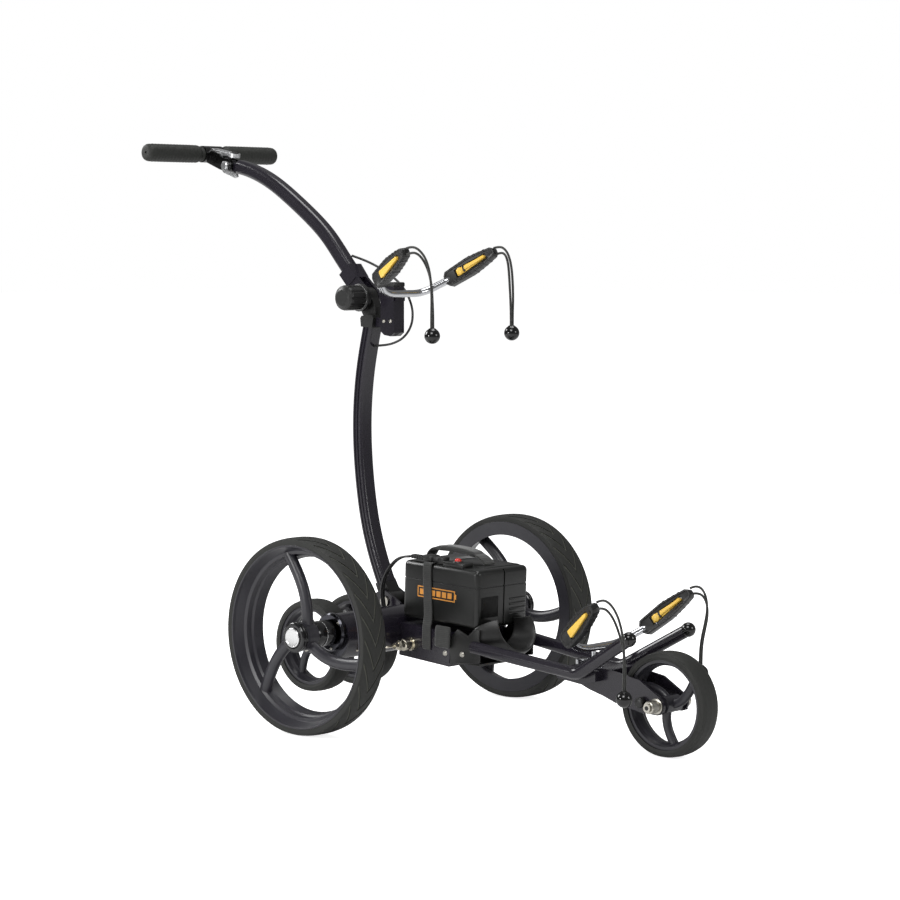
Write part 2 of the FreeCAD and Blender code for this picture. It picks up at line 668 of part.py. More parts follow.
LOWER_LEFT_A = [(489, 112.5, 243), (500, 112.5, 248), (513, 112.7, 244), (520.5, 113.2, 230),
                (521.5, 114, 211), (516.5, 114.8, 190), (510, 115.5, 168), (506, 116, 145),
                (506, 116, 123.2)]
LOWER_LEFT_B = [(492, 117, 234.5), (503, 117.5, 236), (513, 118.2, 229.5), (518, 118.8, 216.5),
                (518, 119.2, 200), (513.5, 119.6, 182), (508.5, 120, 163), (506, 120.3, 143),
                (506, 120.3, 123.2)]
BALL_TOP = 12.2              # strands end this far above the ball's middle


def bungee(name, strands, holder):
    """Elastic loop: two strands from the holder's nose down to one ball."""
    solids = [cord(points, BUNGEE_D, name).cut(holder) for points in strands]
    ends = [V(*points[-1]) for points in strands]
    middle = (ends[0] + ends[1]) * 0.5 - V(0, 0, BALL_TOP)
    ball = Part.makeSphere(BUNGEE_BALL_R, middle)
    solids = [solid.cut(ball) for solid in solids]
    write(name, *[largest(s) for s in solids])
    return ball


def brackets():
    sets = (("upper", UPPER_INNER, UPPER_OUTER, upper_rod(),
             {-1: (UPPER_RIGHT_A, UPPER_RIGHT_B), 1: (UPPER_LEFT_A, UPPER_LEFT_B)}),
            ("lower", LOWER_INNER, LOWER_OUTER, lower_rod(),
             {-1: (LOWER_RIGHT_A, LOWER_RIGHT_B), 1: (LOWER_LEFT_A, LOWER_LEFT_B)}))
    for level, inner, outer, bar, strands in sets:
        holders, balls = [], []
        for name, side in SIDES:
            holder, lever = holder_and_lever(inner, outer, bar)
            if side < 0:
                holder, lever = mirrored(holder), mirrored(lever)
            write("%s_%s_lever" % (level, name), lever)
            balls.append(bungee("%s_%s_bungee" % (level, name), strands[side], holder))
            holders.append(holder)
        write(level + "_holders", *holders)
        write(level + "_bungee_balls", *balls)
        if level == "lower":
            posts = [Part.makeCylinder(3.5, 38, V(396, side * 10, 112), V(0, 0, 1))
                     for side in (-1, 1)]
            bar = joined(bar, *posts)
        write(level + "_bag_bracket", bar)


# ---- battery ------------------------------------------------------------------------------
def battery():
    half = BATTERY_HALF_W
    case = box((0, BATTERY_L), (-half, half), (0, BATTERY_H))
    edges = [e for e in case.Edges if abs(e.tangentAt(e.FirstParameter).z) > 0.9]
    case = case.makeFillet(7, edges)
    case = case.cut(box((BATTERY_L - 2, BATTERY_L + 1), (-38, -4), (48, 80)))
    case = case.cut(box((BATTERY_L - 2, BATTERY_L + 1), (4, 7), (-1, 100)))
    case = joined(case, box((84, 128), (-57, -33), (BATTERY_H, BATTERY_H + 7)))
    case = case.cut(Part.makeCylinder(5.5 + RUN, 20, V(106, -45, BATTERY_H - 2.5), V(0, 0, 1)))
    cavity = box((3, BATTERY_L - 5), (3 - half, half - 3), (3, BATTERY_H - 4))
    write("battery_case", local(case.cut(cavity), BATTERY_CORNER, BATTERY_SLOPE))
    cells = [box((6 + 37 * i, 42 + 37 * i), (3.5 - half, half - 3.5), (3, 74)) for i in range(4)]
    write("battery_cells", *[local(cell, BATTERY_CORNER, BATTERY_SLOPE) for cell in cells])

    above = BATTERY_H + STRAP_T + GAP
    plug = joined(box((10, 40), (-56, -46), (above, above + 9)),
                  box((40, 58), (-59, -37), (above, above + 10)),
                  box((58, 82), (-54, -40), (above, above + 9)),
                  box((66, 82), (-54, -40), (BATTERY_H, above)))
    write("battery_plug", local(plug, BATTERY_CORNER, BATTERY_SLOPE))
    button = joined(Part.makeCylinder(5.5, 8.5, V(106, -45, BATTERY_H + 0.5), V(0, 0, 1)),
                    Part.makeCone(5.5, 4, 3, V(106, -45, BATTERY_H + 9), V(0, 0, 1)))
    write("reset_button", local(button, BATTERY_CORNER, BATTERY_SLOPE))

    low = BATTERY_H + 6.3
    handle = webbing([(4, low), (10, low + 10), (34, low + 17), (90, low + 16), (122, low + 8),
                      (134, low)], 6, -12, 14)
    write("battery_handle", local(handle, BATTERY_CORNER, BATTERY_SLOPE))
    write("battery_strap", local(strap_loop(), BATTERY_CORNER, BATTERY_SLOPE))


STRAP_T = 2.2
STRAP_U = (44.0, 63.0)       # where the strap crosses the battery, from its rear face
STRAP_LEAN = 8.0             # how far it leans forward on its way down the sides


def strap_loop():
    """Hook-and-loop strap over the battery, stepping out over the frame box at each side."""
    half = BATTERY_HALF_W
    lapped = BOX_HALF_W + 0.5
    pieces = [box(STRAP_U, (-half - STRAP_T, half + STRAP_T), (BATTERY_H, BATTERY_H + STRAP_T))]
    rear, front = STRAP_U
    for side in (-1, 1):
        for first, last, low, high, lean_low, lean_high in (
                (half + 0.2, half + STRAP_T, 2, BATTERY_H + 1, STRAP_LEAN, 0),
                (half + 0.2, lapped + STRAP_T, 2, 2 + STRAP_T, STRAP_LEAN, STRAP_LEAN),
                (lapped, lapped + STRAP_T, -44, 2 + STRAP_T, STRAP_LEAN + 2, STRAP_LEAN)):
            outline = [(rear + lean_low, low), (front + lean_low, low),
                       (front + lean_high, high), (rear + lean_high, high)]
            pieces.append(plate(outline, *sorted((side * first, side * last))))
    return joined(*pieces)


def webbing(outline, thick, y0, y1):
    """Flat strap bent along an (x, z) line."""
    outer = outline
    inner = [(x, z - thick) for x, z in outline]
    return plate(outer + inner[::-1], y0, y1)


# ---- cables -------------------------------------------------------------------------------
CONTROL_ROUTE = [(-150.5, 8, 757), (-133, 11.5, 752), (-113, 15, 745), (-91, 19, 735), (-69, 24, 722),
                 (-50, 28, 705), (-36, 29, 685), (-26, 26, 665), (-23, 20, 643),
                 (-31, 11, 623), (-50, 4, 612.5), (-71, 0, 609), (-90, 0, 608)]
LEAD_ROUTE = [(42, -54, 271), (27, -53.5, 270), (11, -52, 264), (-5, -49, 253.5), (-20, -45, 239.5),
              (-32, -41, 223.5), (-39, -37, 207), (-41, -34, 191), (-39, -33, 176)]


def cables():
    control = cord(CONTROL_ROUTE, CABLE_D, "control cable")
    write("control_cable", control)
    housing = rod_y(0, HOUSING_Z, HOUSING_R, -100, 100)
    leads = []
    for shift in (0, 5.2):
        route = [(x, y + shift, z) for x, y, z in LEAD_ROUTE]
        leads.append(cord(route, LEAD_D, "battery lead").cut(housing))
    write("battery_leads", *[largest(s) for s in leads])


# ---- handle, fold knob and grips ----------------------------------------------------------
def handle_line():
    """Side-view line of the upper handle tube, from the clevis to its top end."""
    return [(-141, 728), (-168, 757), (-199, 790), (-237, 820.5), (-276, 847), (-302, 863.5),
            (-341, 885), (-380, 900.5), (-415, 909.5)]


def handle_pieces():
    tube = swept(handle_line(), rounded(HANDLE_WIDE, HANDLE_DEEP, 8))
    x, z = FOLD_PIVOT.x, FOLD_PIVOT.z
    way = V(-0.66, 0, 0.751)
    across = V(0.751, 0, 0.66)

    def at(r, s):
        return (x + way.x * r + across.x * s, z + way.z * r + across.z * s)

    root = plate([at(34, -13), at(34, 13), at(62, 14), at(62, -14)], -15.5, 15.5)
    cheeks = []
    for side in (-1, 1):
        y0, y1 = sorted((side * (8 + GAP), side * 14))
        cheek = joined(rod_y(x, z, 18, y0, y1), plate([at(0, -18), at(0, 18), at(36, 13), at(36, -13)], y0, y1))
        cheeks.append(cheek)
    clevis = joined(root, *cheeks)
    clevis = clevis.cut(rod_y(x, z, 5 + RUN, -40, 40)).cut(tube)
    write("handle_clevis", largest(clevis))
    start, after = V(*CONTROL_ROUTE[0]), V(*CONTROL_ROUTE[1])
    exit_hole = rod(start - (after - start) * 0.05, after, CABLE_D / 2 + GAP)
    tongue = joined(rod_y(TILT_PIVOT.x, TILT_PIVOT.z, 10, -7, 7),
                    plate([(-438, 903.5), (-438, 920.5), (-408, 915), (-408, 900)], -7, 7))
    whole = joined(tube, tongue).cut(rod_y(TILT_PIVOT.x, TILT_PIVOT.z, 3 + RUN, -40, 40))
    write("handle_tube", whole.cut(exit_hole))


def lock_knob():
    """Fluted clamping knob on the right with its stud and the nut on the left."""
    x, z = FOLD_PIVOT.x, FOLD_PIVOT.z
    knob = turned([(0, 60), (13, 60), (16, 58.5), (20, 56), (21, 52), (21, 22), (23, 21), (23, 14.5),
                   (5, 14.5), (5, 0), (0, 0)], V(x, 0, z), -1)
    flute_r = 2.6
    for i in range(12):
        a = math.radians(30 * i)
        knob = knob.cut(rod_y(x + 22.2 * math.cos(a), z + 22.2 * math.sin(a), flute_r, -62, -24))
    stud = rod_y(x, z, 5, -1, 24)
    nut = turned([(4, 14.5), (10, 14.5), (10, 22), (8, 26), (4, 26)], V(x, 0, z), 1)
    write("lock_knob", joined(knob, stud, nut))


def grips():
    """Cross bar with its neck and hinge cheeks, the two grips, the control plate and its dial."""
    x, z = GRIP_AXIS.x, GRIP_AXIS.z
    tx, tz = TILT_PIVOT.x, TILT_PIVOT.z
    bar = rod_y(x, z, 9.5, -143.5, 143.5)
    sleeve = rod_y(x, z, 14.5, -21.5, 21.5)
    neck = plate([(x, z - 13), (x - 2, z + 10), (-462, 934), (-446, 926), (tx, tz + 12),
                  (tx - 9, tz - 8), (-456, 906)], -13, 13)
    body = joined(bar, sleeve, neck, rod_y(tx, tz, 12, -13, 13))
    half_gap = 7 + GAP
    body = body.cut(rod_y(tx, tz, 11.2, -half_gap, half_gap))
    body = body.cut(plate([(tx - 6, tz - 20), (tx - 6, tz + 20), (tx + 30, tz + 20),
                           (tx + 30, tz - 20)], -half_gap, half_gap))
    body = body.cut(rod_y(tx, tz, 3 + RUN, -40, 40))
    top, dial = control_top()
    body = body.cut(top).cut(dial_room())
    write("grip_bar", largest(body))
    write("control_plate", top)
    write("speed_dial", dial)

    grip_profile = [(9.55, GRIP_IN), (12.5, GRIP_IN), (13.2, GRIP_IN + 4), (12.2, GRIP_IN + 7),
                    (14.6, GRIP_IN + 12), (GRIP_R, GRIP_IN + 40), (GRIP_R, GRIP_OUT - 12),
                    (14.3, GRIP_OUT - 4), (11.5, GRIP_OUT), (2.2, GRIP_OUT), (2.2, 143.6),
                    (9.55, 143.6)]
    write("hand_grips", *[turned(grip_profile, GRIP_AXIS, side) for name, side in SIDES])


PLATE_REAR = V(-490.0, 0, 945.0)     # upper rear edge of the control plate
PLATE_SLOPE = 11.0
DIAL_ALONG = 60.0                    # dial centre from the plate's rear edge
DIAL_R = 7.0


def control_top():
    """Silver control plate with a round front end, and the thumb dial set in it."""
    strip = box((0, DIAL_ALONG), (-10, 10), (-3.5, 0))
    round_end = Part.makeCylinder(10.5, 7, V(DIAL_ALONG, 0, -7), V(0, 0, 1))
    foot = box((6, 40), (-8, 8), (-8, -3.5))
    top = joined(strip, round_end, foot)
    top = top.cut(Part.makeCylinder(DIAL_R + GAP, 20, V(DIAL_ALONG, 0, -5.5), V(0, 0, 1)))
    dial = joined(Part.makeCylinder(DIAL_R, 6, V(DIAL_ALONG, 0, -5.2), V(0, 0, 1)),
                  Part.makeCylinder(5, 1.4, V(DIAL_ALONG, 0, 0.8), V(0, 0, 1)))
    return local(top, PLATE_REAR, PLATE_SLOPE), local(dial, PLATE_REAR, PLATE_SLOPE)


def dial_room():
    """Clearance in the neck around the round end of the control plate."""
    return local(Part.makeCylinder(11, 30, V(DIAL_ALONG, 0, -7), V(0, 0, 1)), PLATE_REAR, PLATE_SLOPE)


def clamp_lever():
    """Cam lever of the grip hinge: cross pin, a silver disc at each end and the lever arm."""
    tx, tz = TILT_PIVOT.x, TILT_PIVOT.z
    pin = rod_y(tx, tz, 3, -16, 16)
    discs = [turned([(0, 13.4), (8, 13.4), (8, 18.5), (6, 20.5), (0, 20.5)], V(tx, 0, tz), side)
             for side in (-1, 1)]
    arm = plate([(tx - 4, tz - 7), (tx + 4, tz - 6), (tx + 34, tz - 15), (tx + 35, tz - 20),
                 (tx + 30, tz - 22), (tx, tz - 12)], -20.5, -16.5)
    write("clamp_lever", joined(pin, *discs, arm))


# ---- everything ---------------------------------------------------------------------------
os.makedirs("parts", exist_ok=True)
wheels()
axle_and_motors()
frame_box()
saddle()
horns()
yoke()
bracket_knob()
fasteners()
shaft_pieces()
shaft_joint()
pillar()
brackets()
battery()
cables()
handle_pieces()
lock_knob()
grips()
clamp_lever()
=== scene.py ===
import bpy
import math
from mathutils import Matrix, Vector


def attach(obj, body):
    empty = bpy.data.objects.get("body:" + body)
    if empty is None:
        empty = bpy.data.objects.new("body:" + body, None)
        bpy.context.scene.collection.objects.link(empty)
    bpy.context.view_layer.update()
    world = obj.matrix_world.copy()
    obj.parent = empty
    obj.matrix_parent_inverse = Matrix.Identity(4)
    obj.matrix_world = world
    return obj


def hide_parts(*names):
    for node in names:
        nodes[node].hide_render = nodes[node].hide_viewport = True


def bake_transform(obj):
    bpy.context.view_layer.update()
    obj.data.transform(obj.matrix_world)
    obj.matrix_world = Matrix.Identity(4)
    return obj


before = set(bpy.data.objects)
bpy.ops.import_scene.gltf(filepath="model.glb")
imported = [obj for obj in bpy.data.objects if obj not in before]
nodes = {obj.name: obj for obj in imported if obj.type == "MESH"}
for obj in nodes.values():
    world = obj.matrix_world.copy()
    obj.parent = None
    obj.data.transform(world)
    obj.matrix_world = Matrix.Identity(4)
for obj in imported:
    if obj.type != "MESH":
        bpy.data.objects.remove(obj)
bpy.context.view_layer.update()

# Camera, floor and light. A long lens looks slightly down on the trolley's front right side, on a
# pale sweep of paper under large soft lamps.
MM = 0.001
AXLE_TO_ORIGIN = 55.55       # the drive axle lies this far behind the frame's origin, mm


def at(x, y, z):
    """A place given in mm from the ground under the drive axle."""
    return Vector(((x - AXLE_TO_ORIGIN) * MM, y * MM, z * MM))


def linear(code):
    """sRGB hex to the linear colour that a socket takes."""
    parts = [int(code[i:i + 2], 16) / 255 for i in (1, 3, 5)]
    return tuple(c / 12.92 if c <= 0.04045 else ((c + 0.055) / 1.055) ** 2.4
                 for c in parts) + (1.0,)


def start(name):
    """An empty material and its node tree."""
    material = bpy.data.materials.new(name)
    material.use_nodes = True
    material.node_tree.nodes.clear()
    return material, material.node_tree


def add(tree, kind, values=None, links=None, **settings):
    """One node, with its settings, its sockets' values and the outputs that feed it."""
    node = tree.nodes.new("ShaderNode" + kind)
    for key, value in settings.items():
        setattr(node, key, value)
    for socket, value in (values or {}).items():
        node.inputs[socket].default_value = value
    for socket, source in (links or {}).items():
        tree.links.new(source, node.inputs[socket])
    return node


camera_data = bpy.data.cameras.new("studio_camera")
camera_data.lens = 108.22
camera_data.sensor_width = 36.0
camera_data.clip_end = 100
camera = bpy.data.objects.new("studio_camera", camera_data)
bpy.context.scene.collection.objects.link(camera)
camera.location = at(3075.6, -3193.5, 781.0)
camera.rotation_euler = (math.radians(90 - 4.41), 0, math.radians(43.15))
bpy.context.scene.camera = camera

for name, place, turn, size, power in (
        ("key_lamp", (1.4, -2.2, 3.0), (38, 0, 32), 1.6, 62),
        ("rim_lamp", (-2.6, -1.0, 1.9), (58, 0, -70), 1.2, 58),
        ("front_lamp", (3.0, 0.9, 1.4), (66, 0, 108), 1.0, 20),
        ("strip_lamp", (-0.6, -2.9, 0.9), (82, 0, -12), 0.5, 26),
        ("top_lamp", (-0.2, 0.5, 3.2), (0, 0, 0), 1.4, 36)):
    lamp_data = bpy.data.lights.new(name, "AREA")
    lamp_data.size = size
    lamp_data.energy = power
    lamp = bpy.data.objects.new(name, lamp_data)
    lamp.location = place
    lamp.rotation_euler = [math.radians(a) for a in turn]
    bpy.context.scene.collection.objects.link(lamp)

world = bpy.data.worlds.new("studio")
world.use_nodes = True
# White to the camera, dimmer to everything that reflects it.
air = world.node_tree
backdrop = air.nodes["Background"]
backdrop.inputs["Color"].default_value = linear("#FFFFFF")
seen = add(air, "LightPath")
level = add(air, "MapRange", {"To Min": 0.24, "To Max": 1.0},
            {"Value": seen.outputs["Is Camera Ray"]})
air.links.new(level.outputs["Result"], backdrop.inputs["Strength"])
bpy.context.scene.world = world
bpy.context.scene.view_settings.view_transform = "Standard"

bpy.ops.object.select_all(action="DESELECT")
bpy.ops.mesh.primitive_plane_add(size=60, location=(0, 0, 0))
floor = bpy.context.object
floor.name = "studio_floor"
paper, tree = start("matt_white_paper")
fibres = add(tree, "TexNoise", {"Scale": 400.0, "Detail": 3.0},
             {"Vector": add(tree, "TexCoord").outputs["Object"]})
tone = add(tree, "MixRGB", {"Color1": linear("#F7F7F7"), "Color2": linear("#FBFBFB")},
           {"Fac": fibres.outputs["Fac"]})
seen = add(tree, "LightPath")
glow = add(tree, "Math", {1: 0.84}, {0: seen.outputs["Is Camera Ray"]}, operation="MULTIPLY")
sheet = add(tree, "BsdfPrincipled", {"Roughness": 0.9, "Emission Color": linear("#FFFFFF")},
            {"Base Color": tone.outputs["Color"], "Emission Strength": glow.outputs["Value"]})
add(tree, "OutputMaterial", links={"Surface": sheet.outputs["BSDF"]})
floor.data.materials.append(paper)

# Bungee loops of the bag brackets. Each is braided elastic cord, 4 mm thick, that leaves the
# holder's nose as two strands and comes together in a black plastic ball.
CORD_R = 2.0 * MM
BUNGEES = {
    "upper_right": (
        [(84, -103, 770), (96, -104, 773), (111, -104, 769), (124, -103, 757), (132, -101.8, 739),
         (136, -101.2, 716), (137, -101, 688), (136.2, -101, 664), (136.2, -101, 644.2)],
        [(88, -106, 760), (99, -106, 764), (112, -105, 761), (122, -102.5, 750), (129, -99, 733),
         (133.5, -97, 711), (135, -96.7, 685), (136.2, -96.7, 663), (136.2, -96.7, 644.2)]),
    "upper_left": (
        [(84, 103, 770), (96, 104, 773), (109, 103.5, 768), (119, 102, 756), (125.5, 100.5, 738),
         (129, 99.3, 715), (130.5, 98.8, 688), (129.5, 98.7, 664), (129.5, 98.7, 644.2)],
        [(88, 106, 760), (98, 106, 763.2), (108, 105, 759), (116, 102, 747), (121.5, 98.5, 730),
         (126, 95.3, 709), (128.5, 94.4, 685), (129.5, 94.4, 663), (129.5, 94.4, 644.2)]),
    "lower_right": (
        [(489, -113, 243), (500, -113.5, 248), (514, -113.5, 244), (526, -113.5, 232),
         (535, -113.8, 215), (541, -114, 193), (543.5, -114.5, 166), (543, -114.9, 139),
         (542.5, -114.9, 114.2)],
        [(494, -116, 234), (505, -116, 236), (516, -115, 229), (524.5, -113.8, 217),
         (531.5, -112, 200), (537.5, -110.6, 180), (541.5, -110.4, 159), (542.5, -110.6, 136),
         (542.5, -110.6, 114.2)]),
    "lower_left": (
        [(489, 112.5, 243), (500, 112.5, 248), (513, 112.7, 244), (520.5, 113.2, 230),
         (521.5, 114, 211), (516.5, 114.8, 190), (510, 115.5, 168), (506, 116, 145),
         (506, 116, 123.2)],
        [(492, 117, 234.5), (503, 117.5, 236), (513, 118.2, 229.5), (518, 118.8, 216.5),
         (518, 119.2, 200), (513.5, 119.6, 182), (508.5, 120, 163), (506, 120.3, 143),
         (506, 120.3, 123.2)])}
BUNGEE_BODY = {"upper": "shaft", "lower": "frame"}
BALL_R = 12.5
BALL_DROP = 12.2             # ball centre below the strands' ends


def route_curve(name, route, radius):
    """A smooth cord through given points, as a NURBS curve with a round section."""
    curve = bpy.data.curves.new(name, "CURVE")
    curve.dimensions = "3D"
    line = curve.splines.new("NURBS")
    line.points.add(len(route) - 1)
    for point, place in zip(line.points, route):
        point.co = (*at(*place), 1)
    line.order_u = 3
    line.use_endpoint_u = True
    line.resolution_u = 8
    curve.bevel_depth = radius
    curve.bevel_resolution = 3
    curve.use_fill_caps = True
    piece = bpy.data.objects.new(name, curve)
    bpy.context.scene.collection.objects.link(piece)
    return piece


def route_length(route):
    """Length in metres of the smooth line that the route's points pull along."""
    piece = route_curve("measure", route, 0)
    bpy.context.view_layer.update()
    mesh = bpy.data.meshes.new_from_object(piece)
    total = sum((mesh.vertices[e.vertices[0]].co - mesh.vertices[e.vertices[1]].co).length
                for e in mesh.edges)
    bpy.data.objects.remove(piece)
    return total


def drawn(name, points):
    """A line of vertices, drawn by extruding one point after another; stays in edit mode."""
    bpy.ops.object.select_all(action="DESELECT")
    bpy.ops.mesh.primitive_plane_add(size=MM, location=points[0])
    piece = bpy.context.object
    piece.name = name
    bpy.ops.object.transform_apply(location=True, rotation=True, scale=True)
    bpy.ops.object.mode_set(mode="EDIT")
    bpy.ops.mesh.select_mode(type="VERT")
    bpy.ops.mesh.select_all(action="SELECT")
    bpy.ops.mesh.merge(type="CENTER")
    for before, after in zip(points, points[1:]):
        bpy.ops.mesh.extrude_vertices_move(
            TRANSFORM_OT_translate={"value": Vector(after) - Vector(before)})
    return piece


def spun(name, points, centre, steps, axis=(0, 1, 0)):
    """A turned piece from a drawn profile; leaves object mode on."""
    piece = drawn(name, points)
    bpy.ops.mesh.select_all(action="SELECT")
    bpy.ops.mesh.spin(steps=steps, angle=2 * math.pi, center=centre, axis=axis)
    bpy.ops.mesh.select_all(action="SELECT")
    bpy.ops.mesh.remove_doubles(threshold=1e-6)
    bpy.ops.mesh.normals_make_consistent(inside=False)
    bpy.ops.object.mode_set(mode="OBJECT")
    return piece


def softened(piece, width, segments=2, sharp=32):
    """Rounds the sharp edges and shades the rest smooth."""
    bpy.ops.object.select_all(action="DESELECT")
    piece.select_set(True)
    bpy.context.view_layer.objects.active = piece
    if width:
        bevel = piece.modifiers.new("rounding", "BEVEL")
        bevel.width = width * MM
        bevel.segments = segments
        bevel.limit_method = "ANGLE"
        bevel.angle_limit = math.radians(sharp)
        bpy.ops.object.modifier_apply(modifier=bevel.name)
    bpy.ops.object.shade_smooth_by_angle(angle=math.radians(sharp))
    return piece


def fitted(piece, body_name, slot_name, material, *replaced):
    """Gives a finished piece its material, its body and the CAD nodes it stands for; slot_name is
    not used.
    """
    piece.data.materials.clear()
    piece.data.materials.append(material)
    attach(piece, body_name)
    if replaced:
        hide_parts(*replaced)
    return piece


def moulded(name, dark, light, grain, rough, bump, ior=1.5, edge=0.6, metal=0.0):
    """Skin of a moulded or coated part: cloudy colour, fine grain of so many mm, softened edges."""
    material, tree = start(name)
    place = add(tree, "TexCoord")
    clouds = add(tree, "TexNoise", {"Scale": 22.0, "Detail": 3.0},
                 {"Vector": place.outputs["Object"]})
    skin = add(tree, "TexNoise", {"Scale": 1000.0 / grain, "Detail": 2.0},
               {"Vector": place.outputs["Object"]})
    shade = add(tree, "MixRGB", {"Color1": linear(dark), "Color2": linear(light)},
                {"Fac": clouds.outputs["Fac"]})
    gloss = add(tree, "MapRange", {"To Min": rough[0], "To Max": rough[1]},
                {"Value": skin.outputs["Fac"]})
    relief = add(tree, "Bump", {"Strength": 0.4, "Distance": bump * MM},
                 {"Height": skin.outputs["Fac"]})
    if edge:
        rounded_edge = add(tree, "Bevel", {"Radius": edge * MM}, samples=4)
        tree.links.new(rounded_edge.outputs["Normal"], relief.inputs["Normal"])
    body = add(tree, "BsdfPrincipled", {"IOR": ior, "Metallic": metal},
               {"Base Color": shade.outputs["Color"], "Roughness": gloss.outputs["Result"],
                "Normal": relief.outputs["Normal"]})
    add(tree, "OutputMaterial", links={"Surface": body.outputs["BSDF"]})
    return material


# Glossy phenolic balls: deep black, sharp highlights.
phenolic = moulded("polished_black_phenolic", "#070707", "#0E0E0E", 3.0, (0.06, 0.12), 0.005)


def cord_ball(name, route_a, route_b):
    """The loop's ball, turned about its upright line, with a small collar round the cord holes."""
    top = (at(*route_a[-1]) + at(*route_b[-1])) / 2
    centre = top - Vector((0, 0, BALL_DROP * MM))
    profile = [(0, 11.3), (3.6, 11.3), (4.3, 12.3), (5.4, 11.9)]
    profile += [(BALL_R * math.sin(math.radians(a)), BALL_R * math.cos(math.radians(a)))
                for a in range(30, 180, 8)] + [(0, -BALL_R)]
    points = [centre + Vector((r, 0, z)) * MM for r, z in profile]
    return softened(spun(name, points, centre, 40, (0, 0, 1)), 0)


# Braided nylon over rubber: tiny slanted bundles, dull, black with a greenish cast.
braid, tree = start("braided_elastic_cord")
place = add(tree, "TexCoord")
turned = add(tree, "Mapping", {"Rotation": (0.6, 0.5, 0.0)},
             {"Vector": place.outputs["Object"]})
# bundles about 1.6 mm wide
strands = add(tree, "TexWave", {"Scale": 100.0, "Distortion": 2.0, "Detail": 1.0},
              {"Vector": turned.outputs["Vector"]}, wave_type="BANDS", bands_direction="DIAGONAL")
shade = add(tree, "MixRGB", {"Color1": linear("#0C0D0A"), "Color2": linear("#1F201C")},
            {"Fac": strands.outputs["Fac"]})
relief = add(tree, "Bump", {"Strength": 0.5, "Distance": 0.0003},
             {"Height": strands.outputs["Fac"]})
body = add(tree, "BsdfPrincipled", {"Roughness": 0.75, "Sheen Weight": 0.3},
           {"Base Color": shade.outputs["Color"], "Normal": relief.outputs["Normal"]})
add(tree, "OutputMaterial", links={"Surface": body.outputs["BSDF"]})

for side_name, strands_of in BUNGEES.items():
    level = side_name.split("_")[0]
    body_name = BUNGEE_BODY[level]
    ball = fitted(cord_ball(side_name + "_bungee_ball", *strands_of), body_name, "gloss_black",
                  phenolic, level + "_bungee_balls")
    for letter, route in zip("ab", strands_of):
        cord = route_curve("%s_bungee_%s" % (side_name, letter), route, CORD_R)
        cord.data.materials.append(braid)
        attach(cord, body_name)
        round(route_length(route), 4)
        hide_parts(side_name + "_bungee")

# Control cable and battery leads. Each is a stranded wire in a smooth black jacket, 4 mm thick,
# held at both ends: it leaves one part of the trolley and goes into another.
CONTROL_ROUTE = [(-150.5, 8, 757), (-133, 11.5, 752), (-113, 15, 745), (-91, 19, 735),
                 (-69, 24, 722), (-50, 28, 705), (-36, 29, 685), (-26, 26, 665), (-23, 20, 643),
                 (-31, 11, 623), (-50, 4, 612.5), (-71, 0, 609), (-90, 0, 608)]
LEAD_ROUTE = [(42, -54, 271), (27, -53.5, 270), (11, -52, 264), (-5, -49, 253.5), (-20, -45, 239.5),
              (-32, -41, 223.5), (-39, -37, 207), (-41, -34, 191), (-39, -33, 176)]
LEAD_STEP = 5.2              # the two leads lie side by side

# Soft PVC jacket: smooth, half gloss, with faint rub marks.
jacket, tree = start("soft_pvc_cable_jacket")
place = add(tree, "TexCoord")
rubs = add(tree, "TexNoise", {"Scale": 220.0, "Detail": 4.0}, {"Vector": place.outputs["Object"]})
shade = add(tree, "MixRGB", {"Color1": linear("#101010"), "Color2": linear("#1C1C1C")},
            {"Fac": rubs.outputs["Fac"]})
gloss = add(tree, "MapRange", {"To Min": 0.3, "To Max": 0.48}, {"Value": rubs.outputs["Fac"]})
body = add(tree, "BsdfPrincipled", {"IOR": 1.53},
           {"Base Color": shade.outputs["Color"], "Roughness": gloss.outputs["Result"]})
add(tree, "OutputMaterial", links={"Surface": body.outputs["BSDF"]})


def centre_line(route):
    """The points in metres that a smooth cord follows, from its exit to its far end."""
    piece = route_curve("centre_line", route, 0)
    bpy.context.view_layer.update()
    mesh = bpy.data.meshes.new_from_object(piece)
    points = [vertex.co.copy() for vertex in mesh.vertices]
    bpy.data.objects.remove(piece)
    if (points[0] - at(*route[0])).length > (points[-1] - at(*route[0])).length:
        points.reverse()
    return points


def bending_wire(name, route, node):
    """A jacketed wire along its route, made a mesh that stands in for the CAD node and baked in
    place.
    """
    wire = route_curve(name, route, CORD_R)
    bpy.ops.object.select_all(action="DESELECT")
    wire.select_set(True)
    bpy.context.view_layer.objects.active = wire
    bpy.ops.object.convert(target="MESH")
    wire = bpy.context.object
    wire.data.materials.clear()
    wire.data.materials.append(jacket)
    bpy.ops.object.shade_smooth_by_angle(angle=math.radians(50))
    round(route_length(route), 4)
    centre_line(route)
    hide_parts(node)
    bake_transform(wire)


bending_wire("control_wire", CONTROL_ROUTE, "control_cable")
for index in (0, 1):
    bending_wire("battery_lead_%d" % (index + 1),
                 [(x, y + index * LEAD_STEP, z) for x, y, z in LEAD_ROUTE],
                 "battery_leads")

# Drive wheels' rims. Glass-filled nylon, moulded in one piece with three curved spokes, left in its
# own dark grey with the faint orange-peel skin of the mould.
def dress(material, *names):
    """Gives CAD nodes their material."""
    for name in names:
        slots = nodes[name].material_slots
        if not slots:
            nodes[name].data.materials.append(material)
        for slot in slots:
            slot.material = material


# Glass-filled nylon: dull satin, slate grey.
nylon = moulded("glass_filled_nylon", "#222126", "#2D2C32", 1.4, (0.3, 0.42), 0.08)
dress(nylon, "right_rim", "left_rim", "front_rim", "antitip_rims")

